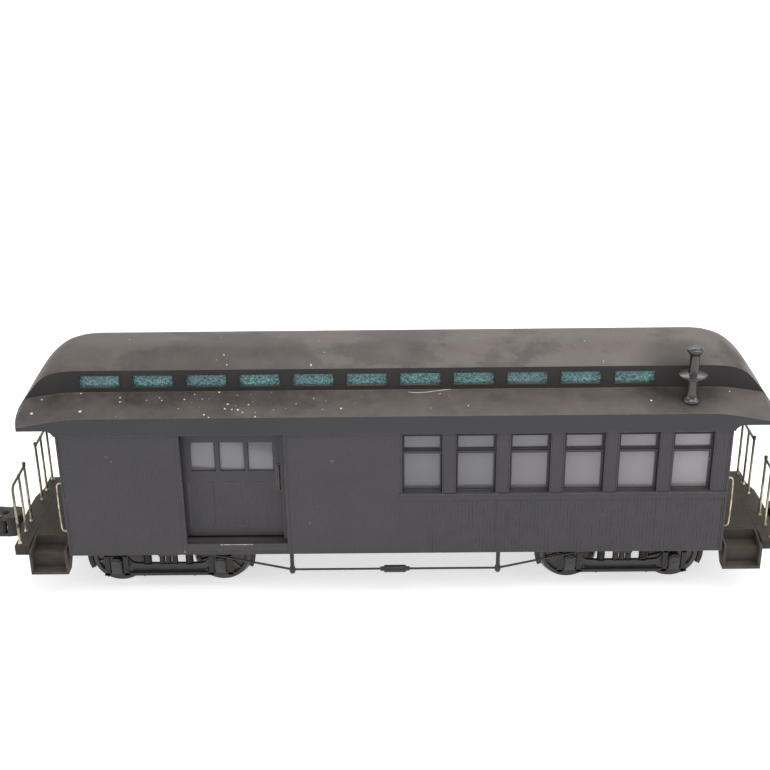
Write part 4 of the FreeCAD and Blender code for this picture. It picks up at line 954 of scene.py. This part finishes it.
# ------------------------------------------------------------------ baggage doors
for side, nm in ((-1, "left"), (1, "right")):
    b = Build()
    xl, xr, zb, zt = -143.5, -75.4, 48.7, 128.2
    gl = ((-136.3, -119.3), (-116.6, -99.6), (-97.4, -80.2))
    pl = ((-138.8, -121.4), (-118.6, -102.6), (-99.8, -80.2))
    # rails and stiles
    b.box(xl, xr, -44.8, -43.05, 120.0, zt)
    b.box(xl, xr, -44.8, -43.05, 90.8, 97.6)
    b.box(xl, xr, -44.8, -43.05, zb, 55.3)
    for a, d in ((xl, gl[0][0]), (gl[0][1], gl[1][0]), (gl[1][1], gl[2][0]), (gl[2][1], xr)):
        b.box(a, d, -44.8, -43.05, 97.6, 120.0)
    for a, d in ((xl, pl[0][0]), (pl[0][1], pl[1][0]), (pl[1][1], pl[2][0]), (pl[2][1], xr)):
        b.box(a, d, -44.8, -43.05, 55.3, 90.8)
    # panel boards, three to a panel
    for a, d in pl:
        n = 3
        for k in range(n):
            x0, x1 = a + (d - a) * k / n, a + (d - a) * (k + 1) / n
            b.board(x0 + 0.01, x1 - 0.01, 55.2, 90.9, -43.2, -44.3, 0.05)
    # beads around panels and panes
    for (a, d), z0, z1, w in [(p, 55.3, 90.8, 0.9) for p in pl] + [(g_, 97.6, 120.0, 0.45) for g_ in gl]:
        b.prism([(-43.3, z0), (-44.75, z0), (-44.3, z0 + w), (-43.3, z0 + w)], "x", a, d)
        b.prism([(-43.3, z1), (-44.75, z1), (-44.3, z1 - w), (-43.3, z1 - w)], "x", a, d)
        b.prism([(a, -43.3), (a, -44.75), (a + w, -44.3), (a + w, -43.3)], "z", z0, z1)
        b.prism([(d, -43.3), (d, -44.75), (d - w, -44.3), (d - w, -43.3)], "z", z0, z1)
    if side > 0:
        for v in b.bm.verts:
            v.co.y = -v.co.y
    b.out(nm + "_door_leaf", M["coach_body"], body=nm + "_baggage_door", replaces=(nm + "_baggage_door",), bevel=0.12)
    h = Build()
    h.prism([(-79.2, 83.6), (-78.8, 83.0), (-76.0, 83.0), (-75.6, 83.6), (-75.6, 102.8), (-76.0, 103.4), (-78.8, 103.4), (-79.2, 102.8)], "y", -45.2, -44.8)
    pts = [(-77.2, -45.0, 84.6), (-77.2, -46.1, 84.75), (-77.2, -46.55, 85.6), (-77.2, -46.65, 87.5), (-77.2, -46.65, 93.1), (-77.2, -46.65, 98.8), (-77.2, -46.55, 100.8), (-77.2, -46.1, 101.65), (-77.2, -45.0, 101.8)]
    h.tube(pts, 0.85, 14, radii=[1.25, 1.0, 0.85, 0.8, 0.85, 0.8, 0.85, 1.0, 1.25])
    for z in (83.9, 102.5):
        h.bolt((-77.2, -45.25, z), "y", 0.42, 0.25, -1, False)
    if side > 0:
        for v in h.bm.verts:
            v.co.y = -v.co.y
    h.out(nm + "_door_pull", M["handle_metal"], body=nm + "_baggage_door", replaces=(nm + "_baggage_door_handle",), bevel=0.08)

# ------------------------------------------------------------------ platforms, steps
pk = Build()
y = -33.8
while y < 33.7:
    for s in (-1, 1):
        a = sorted((s * 223.3, s * 249.9))
        pk.prism([(y + 0.04, 44.45), (y + 3.32, 44.45), (y + 3.32, 44.72), (y + 3.2, 44.82), (y + 0.16, 44.82), (y + 0.04, 44.72)], "x", a[0], a[1])
    y += 3.38
for s in (-1, 1):
    a = sorted((s * 250.15, s * 259.9))
    for y0 in (-49.9, -30.0, -10.0, 10.0, 30.0):
        pk.box(a[0], a[1], y0 + 0.05, y0 + (19.85 if y0 > -49 else 19.8), 44.4, 44.78)
pk.out("platform_planks", M["platform_paint"], bevel=0.08)

rv = Build()
for s in (-1, 1):
    for yy in (-46, -38, -26, -14, 14, 26, 38, 46):
        rv.bolt((s * 260.0 if abs(yy) > 36 else s * (260 + 3.6 * (1 - abs(yy) / 40.0)), yy, 41.0), "x", 0.7, 0.5, s)
rv.out("end_beam_bolts", M["platform_paint"], bevel=0.05)

tr = Build()
for k in range(5):
    yy = -52.5 + k * 1.7
    tr.prism([(yy, 25.0), (yy + 0.9, 25.0), (yy + 0.75, 25.5), (yy + 0.15, 25.5)], "x", 225.9, 248.4)
for k in range(6):
    yy = -45.2 + k * 1.7
    tr.prism([(yy, 36.3), (yy + 0.9, 36.3), (yy + 0.75, 36.8), (yy + 0.15, 36.8)], "x", 225.9, 248.4)
tr.prism([(-53.2, 24.9), (-53.3, 25.3), (-53.1, 25.5), (-52.7, 25.4)], "x", 224.4, 249.8)
tr.mirror("y")
tr.mirror("x")
tr.out("step_treads", M["step_paint"], bevel=0.06)


def arc_pts(cx, cz, r, a0, a1, n, y=None, x=None):
    out = []
    for i in range(n + 1):
        a = math.radians(a0 + (a1 - a0) * i / n)
        out.append((cx + r * math.cos(a), cz + r * math.sin(a)))
    return out


# railings: bent wire with turned collars
rl = Build()
for sx in (-1, 1):
    for sy in (-1, 1):
        x = 257.0 * sx
        top = 88.3
        pts = [(x, 46.05 * sy, 44.6), (x, 46.05 * sy, 60), (x, 46.05 * sy, 75), (x, 46.05 * sy, 84.0)]
        for a in range(1, 9):
            an = math.radians(90 * a / 8)
            pts.append((x, sy * (42.05 + 4.0 * math.cos(an)), 84.3 + 4.0 * math.sin(an)))
        pts += [(x, sy * 34, top), (x, sy * 25, top), (x, sy * 16.2, top)]
        rl.tube(pts, 0.9, 14)
        rl.tube([(x, 29.6 * sy, 44.6), (x, 29.6 * sy, 66), (x, 29.6 * sy, 88.0)], 0.85, 14)
        rl.tube([(x, 15.4 * sy, 44.6), (x, 15.4 * sy, 60), (x, 15.4 * sy, 75), (x, 15.4 * sy, 89.0)], 0.9, 14)
        rl.lathe([(0, 0), (1.0, 0), (1.25, 0.5), (0.95, 1.1), (1.35, 1.6), (1.42, 2.2), (1.1, 3.0), (0.5, 3.35), (0, 3.4)], (x, 15.4 * sy, 88.0), "z", 20)
        for yy in (46.05, 29.6, 15.4):
            rl.lathe([(0, 0), (1.7, 0), (1.7, 0.5), (1.35, 0.9), (1.1, 1.5), (0.9, 1.9), (0, 1.9)], (x, yy * sy, 44.6), "z", 20)
        rl.lathe([(0.8, -0.7), (1.25, -0.5), (1.25, 0.5), (0.8, 0.7)], (x, 29.6 * sy, top), "z", 16)
rl.out("railing_wire", M["rail_brass"], replaces=("platform_railings",), bevel=0, smooth=55.0)

gi = Build()
for sx in (-1, 1):
    for sy in (-1, 1):
        yy = 50.3 * sy
        pts = [(sx * 222.2, yy, 56.4), (sx * 223.6, yy, 56.45), (sx * 224.8, yy, 56.95), (sx * 225.45, yy, 58.0), (sx * 225.6, yy, 59.6), (sx * 225.75, yy, 66), (sx * 225.85, yy, 74.7), (sx * 225.75, yy, 83), (sx * 225.6, yy, 89.8),
               (sx * 225.45, yy, 91.5), (sx * 224.8, yy, 92.55), (sx * 223.6, yy, 93.05), (sx * 222.2, yy, 93.1)]
        gi.tube(pts, 0.62, 12)
        for z in (56.4, 93.1):
            gi.lathe([(0, 0), (1.25, 0), (1.25, 0.25 * sx), (0.95, 0.5 * sx), (0.62, 0.6 * sx), (0, 0.6 * sx)], (sx * 222.25, yy, z), "x", 16)
gi.out("grab_wire", M["grab_brass"], replaces=("grab_irons",), bevel=0, smooth=55.0)

# ------------------------------------------------------------------ trucks
for side, tx in (("front", -158.0), ("rear", 158.0)):
    body = side + "_truck"
    d = Build()
    for sy in (-1, 1):
        yo = 39.0 * sy
        for s in (-1, 1):
            ax = tx + 36.33 * s
            # flared pedestal feet and rivets
            for k in (-1, 1):
                x0, x1 = sorted((ax + k * 4.75, ax + k * 8.2))
                d.prism([(x0, 15.4), (x1, 15.4), (x1 + (1.2 if k > 0 else 0), 13.4), (x0 - (1.2 if k < 0 else 0), 13.4)], "y", 36.6 * sy, yo)
                d.prism([(x0, 28.5), (x1, 28.5), (x1 + (2.2 if k > 0 else 0), 31.0), (x0 - (2.2 if k < 0 else 0), 31.0)], "y", 36.6 * sy, yo)
                d.bolt(((x0 + x1) / 2, yo, 32.8), "y", 0.75, 0.55, sy)
                d.bolt(((x0 + x1) / 2, 37.8 * sy, 13.1), "z", 0.9, 0.9, -1)
                d.bolt(((x0 + x1) / 2, yo, 17.5), "y", 0.6, 0.4, sy)
        for xx in (-24, -8, 8, 24):
            d.bolt((tx + xx, yo, 32.8), "y", 0.65, 0.5, sy)
        for xx in (-17.5, 17.5):
            d.bolt((tx + xx, 37.8 * sy, 13.1), "z", 0.8, 0.8, -1)
        # raised lips on the wheelpiece
        d.prism([(38.9 * sy, 34.5), (39.5 * sy, 34.5), (39.5 * sy, 33.8), (38.9 * sy, 33.6)], "x", tx - 46.4, tx + 46.4)
        d.prism([(38.9 * sy, 31.0), (39.5 * sy, 31.0), (39.5 * sy, 31.6), (38.9 * sy, 31.8)], "x", tx - 46.4, tx + 46.4)
    d.out(side + "_truck_fittings", M["truck_casting"], body=body, bevel=0.12)
    # journal boxes with arched lids
    j = Build()
    for sy in (-1, 1):
        for s in (-1, 1):
            ax = tx + 36.33 * s
            prof = [(ax - 3.6, 15.9), (ax - 3.2, 15.6), (ax + 3.2, 15.6), (ax + 3.6, 15.9), (ax + 3.6, 24.4)] + [(ax + 3.6 * math.cos(math.radians(a)), 24.4 + 3.0 * math.sin(math.radians(a))) for a in range(15, 180, 15)] + [(ax - 3.6, 24.4)]
            j.prism(prof, "y", *sorted((35.0 * sy, 40.0 * sy)))
            lid = [(ax - 2.7, 17.2), (ax + 2.7, 17.2), (ax + 2.9, 23.8)] + [(ax + 2.7 * math.cos(math.radians(a)), 24.0 + 2.2 * math.sin(math.radians(a))) for a in range(20, 180, 20)] + [(ax - 2.9, 23.8)]
            j.prism(lid, "y", *sorted((39.8 * sy, 40.65 * sy)))
            j.tube([(ax - 2.4, 40.4 * sy, 25.3), (ax, 40.55 * sy, 25.35), (ax + 2.4, 40.4 * sy, 25.3)], 0.45, 8)
            j.lathe([(0, 0), (1.1, 0), (1.1, 0.25 * sy), (0.7, 0.42 * sy), (0, 0.45 * sy)], (ax, 40.55 * sy, 20.6), "y", 18)
    j.out(side + "_truck_boxes", M["journal_grey"], body=body, replaces=(side + "_truck_journal_boxes",), bevel=0.15)
    # springs as real coils
    c = Build()
    for sy in (-1, 1):
        for s in (-1, 1):
            sx_ = tx + 14.5 * s
            c.helix((sx_, 36.4 * sy, 0), 2.25, 0.55, 22.3, 30.2, 5.2)
            c.helix((sx_, 36.4 * sy, 0), 1.15, 0.4, 22.3, 30.2, 7.0, 12, 6)
            for z0, z1 in ((21.33, 22.4), (30.1, 30.98)):
                c.lathe([(0, z0), (2.8, z0), (3.0, z0 + 0.2), (3.0, z1 - 0.2), (2.8, z1), (0, z1)], (sx_, 36.4 * sy, 0), "z", 24)
        for k in (-1, 0, 1):
            c.helix((tx + 4.4 * k, 36.4 * sy, 0), 1.62, 0.52, 22.0, 27.9, 5.0, 14, 7)
            c.lathe([(0, 22.0), (0.95, 22.0), (0.95, 27.9), (0, 27.9)], (tx + 4.4 * k, 36.4 * sy, 0), "z", 14)
            for z0, z1 in ((21.35, 22.1), (27.8, 28.42)):
                c.lathe([(0, z0), (2.0, z0), (2.1, z0 + 0.15), (2.1, z1 - 0.15), (2.0, z1), (0, z1)], (tx + 4.4 * k, 36.4 * sy, 0), "z", 20)
    c.out(side + "_truck_coils", M["spring_steel"], body=body, replaces=(side + "_truck_springs",), bevel=0, smooth=50.0)
    # equalizers, forged bars with rounded bends
    e = Build()
    top = [(22.5, 21.3), (25.6, 22.2), (29.0, 26.6), (32.2, 30.4), (39.6, 30.4)]
    bot = [(23.6, 16.7), (27.3, 17.9), (30.9, 24.2), (32.5, 27.45), (39.6, 27.45)]

    def smooth_line(p):
        out = [p[0]]
        for a, m_, b2 in zip(p, p[1:], p[2:]):
            for t_ in (0.25, 0.5, 0.75):
                q0 = (a[0] * 0.3 + m_[0] * 0.7, a[1] * 0.3 + m_[1] * 0.7)
                q1 = (b2[0] * 0.3 + m_[0] * 0.7, b2[1] * 0.3 + m_[1] * 0.7)
                out.append(((1 - t_) ** 2 * q0[0] + 2 * t_ * (1 - t_) * m_[0] + t_ ** 2 * q1[0], (1 - t_) ** 2 * q0[1] + 2 * t_ * (1 - t_) * m_[1] + t_ ** 2 * q1[1]))
        out.append(p[-1])
        return out
    ts, bs = smooth_line([(0, 21.3)] + top), smooth_line([(0, 16.7)] + bot)
    poly = [(tx + a, z) for a, z in bs] + [(tx + a, z) for a, z in reversed(ts)] + [(tx - a, z) for a, z in ts[1:]] + [(tx - a, z) for a, z in reversed(bs[1:])]
    for sy in (-1, 1):
        e.prism(poly, "y", *sorted((33.6 * sy, 36.2 * sy)))
        e.prism([(tx - 24.5, 14.6), (tx + 24.5, 14.6), (tx + 25.5, 15.4), (tx + 23.0, 16.9), (tx - 23.0, 16.9), (tx - 25.5, 15.4)], "y", *sorted((34.2 * sy, 35.6 * sy)))
    e.out(side + "_truck_equalizer_bars", M["equalizer_grey"], body=body, replaces=(side + "_truck_equalizers",), bevel=0.3, segs=3)

    # wheels: ribbed plate wheel with hub and rim
    for s, pos in ((-1, "front"), (1, "rear")):
        ax = tx + 36.33 * s
        w = Build()
        for sy in (-1, 1):
            prof = [(2.0, 19.95), (5.0, 19.95), (5.2, 20.2), (5.2, 21.2), (6.2, 21.9), (14.6, 21.9), (15.4, 21.2), (15.7, 20.2), (16.2, 19.95), (20.6, 19.95), (21.1, 20.2), (21.25, 20.5), (21.15, 20.8), (20.5, 21.15), (19.6, 21.5),
                    (19.2, 21.9), (19.1, 22.4), (18.9, 26.0), (18.7, 26.2), (16.4, 26.2), (16.1, 26.0), (15.7, 24.6), (14.9, 24.0), (6.2, 24.0), (5.2, 24.6), (4.7, 26.2), (4.4, 26.6), (2.0, 26.6), (2.0, 19.95)]
            w.lathe([(r_, h_ * sy) for r_, h_ in prof], (ax, 0, 21.25), "y", 72)
            for k in range(6):
                a = 2 * math.pi * k / 6 + 0.3
                u0 = (math.cos(a), math.sin(a))
                nrm = (-u0[1], u0[0])
                pts = []
                for rr, hw in ((5.0, 0.9), (15.9, 0.65)):
                    pts.append((ax + u0[0] * rr + nrm[0] * hw, 21.25 + u0[1] * rr + nrm[1] * hw))
                    pts.append((ax + u0[0] * rr - nrm[0] * hw, 21.25 + u0[1] * rr - nrm[1] * hw))
                w.prism([pts[0], pts[1], pts[3], pts[2]], "y", *sorted((23.8 * sy, 25.3 * sy)))
        for f in w.bm.faces:
            q = f.calc_center_median()
            if math.hypot(q.x - ax, q.z - 21.25) > 18.2:
                f.material_index = 1
        w.out("%s_truck_%s_wheel_set" % (side, pos), [M["wheel_metal"], M["tread_steel"]], body="%s_truck_%s_wheelset" % (side, pos), replaces=("%s_truck_%s_wheels" % (side, pos),), bevel=0, smooth=35.0)

# ------------------------------------------------------------------ truss rods
tb = Build()
for sy in (-1, 1):
    yy = 47.75 * sy
    c = (0, yy, 22.9)
    tb.lathe([(0, -10), (1.35, -10), (1.6, -9.7), (1.6, -8.0), (2.1, -7.5), (2.55, -7.2), (2.6, -6.9), (2.6, 6.9), (2.55, 7.2), (2.1, 7.5), (1.6, 8.0), (1.6, 9.7), (1.35, 10), (0, 10)], c, "x", 24)
    for s in (-1, 1):
        tb.lathe([(0, 0.0), (1.45, 0.0), (1.45, 1.5), (1.2, 1.8), (0, 1.8)], (s * 9.3 - 0.9, yy, 22.9), "x", 6)
    tb.lathe([(0, 0), (0.75, 0), (0.75, 0.35), (0.4, 0.6), (0, 0.6)], (0, yy + 2.45 * sy, 22.9), "y", 12)
tb.out("turnbuckle_bodies", M["truss_metal"], replaces=("turnbuckles",), bevel=0, smooth=35.0)

# ------------------------------------------------------------------ the other carried-over parts get softened edges
done = {"roof", "clerestory_glazing", "smokejack", "left_window_sashes", "right_window_sashes", "window_glazing", "left_baggage_door", "right_baggage_door",
        "left_baggage_door_handle", "right_baggage_door_handle", "platform_railings", "grab_irons", "turnbuckles"}
for n, o in nodes.items():
    if n in done or n.endswith(("_springs", "_equalizers", "_journal_boxes", "_wheels")):
        continue
    dress(o, 0.3 if "truck" in n or "coupler" in n or "platform" in n else 0.2, 2, 40.0, weld=True)

# ------------------------------------------------------------------ stage, light, camera
scene = bpy.context.scene
scene.view_settings.view_transform = "Standard"


def plane(name, size, loc, rot, mat):
    bpy.ops.mesh.primitive_plane_add(size=size, location=loc, rotation=rot)
    o = bpy.context.object
    o.name = name
    o.data.materials.append(mat)
    return o


fm, fnt, fb = mat_new("pale_floor")
fb.inputs["Base Color"].default_value = (0.6, 0.6, 0.6, 1)
fb.inputs["Emission Color"].default_value = (1.0, 1.0, 1.0, 1)
fb.inputs["Emission Strength"].default_value = 0.62
fb.inputs["Roughness"].default_value = 0.9
fb.inputs["Specular IOR Level"].default_value = 0.1
plane("floor_stage", 30, (0, 0, 0.0), (0, 0, 0), fm)

world = bpy.data.worlds.new("studio")
scene.world = world
world.use_nodes = True
world.node_tree.nodes["Background"].inputs[0].default_value = (0.95, 0.97, 1.0, 1)
world.node_tree.nodes["Background"].inputs[1].default_value = 0.75


def area(name, loc, target, size, power, color=(1, 1, 1)):
    d = bpy.data.lights.new(name, "AREA")
    d.shape = "RECTANGLE"
    d.size, d.size_y = size
    d.energy = power
    d.color = color
    o = bpy.data.objects.new(name, d)
    scene.collection.objects.link(o)
    o.location = loc
    o.rotation_euler = (Vector(target) - Vector(loc)).to_track_quat("-Z", "Y").to_euler()
    return o


area("key", (0.35, -0.55, 1.5), (0, 0, 0.1), (1.6, 0.9), 16)
area("left_fill", (-1.3, -0.7, 0.8), (0, 0, 0.1), (0.9, 0.9), 6)
area("right_fill", (1.3, -0.6, 0.9), (0, 0, 0.1), (0.9, 0.9), 7)
area("back_top", (0.0, 0.9, 1.1), (0, 0, 0.15), (1.8, 0.5), 6)

cam_d = bpy.data.cameras.new("camera")
cam = bpy.data.objects.new("camera", cam_d)
scene.collection.objects.link(cam)
scene.camera = cam
cam_d.sensor_width = 36.0
cam_d.lens = 1277.09 / 770 * 36
cam_d.clip_start = 0.01
P, Y, R = 0.419, 0.0089, -0.013
r1 = Vector((math.cos(Y), math.sin(Y), 0))
f1 = Vector((-math.sin(Y), math.cos(Y), 0))
fwd = math.cos(P) * f1 - math.sin(P) * Vector((0, 0, 1))
up = math.sin(P) * f1 + math.cos(P) * Vector((0, 0, 1))
rt = math.cos(R) * r1 + math.sin(R) * up
up2 = -math.sin(R) * r1 + math.cos(R) * up
cam.matrix_world = Matrix(((rt.x, up2.x, -fwd.x, 0.0014384), (rt.y, up2.y, -fwd.y, -0.8017633), (rt.z, up2.z, -fwd.z, 0.4974945), (0, 0, 0, 1)))
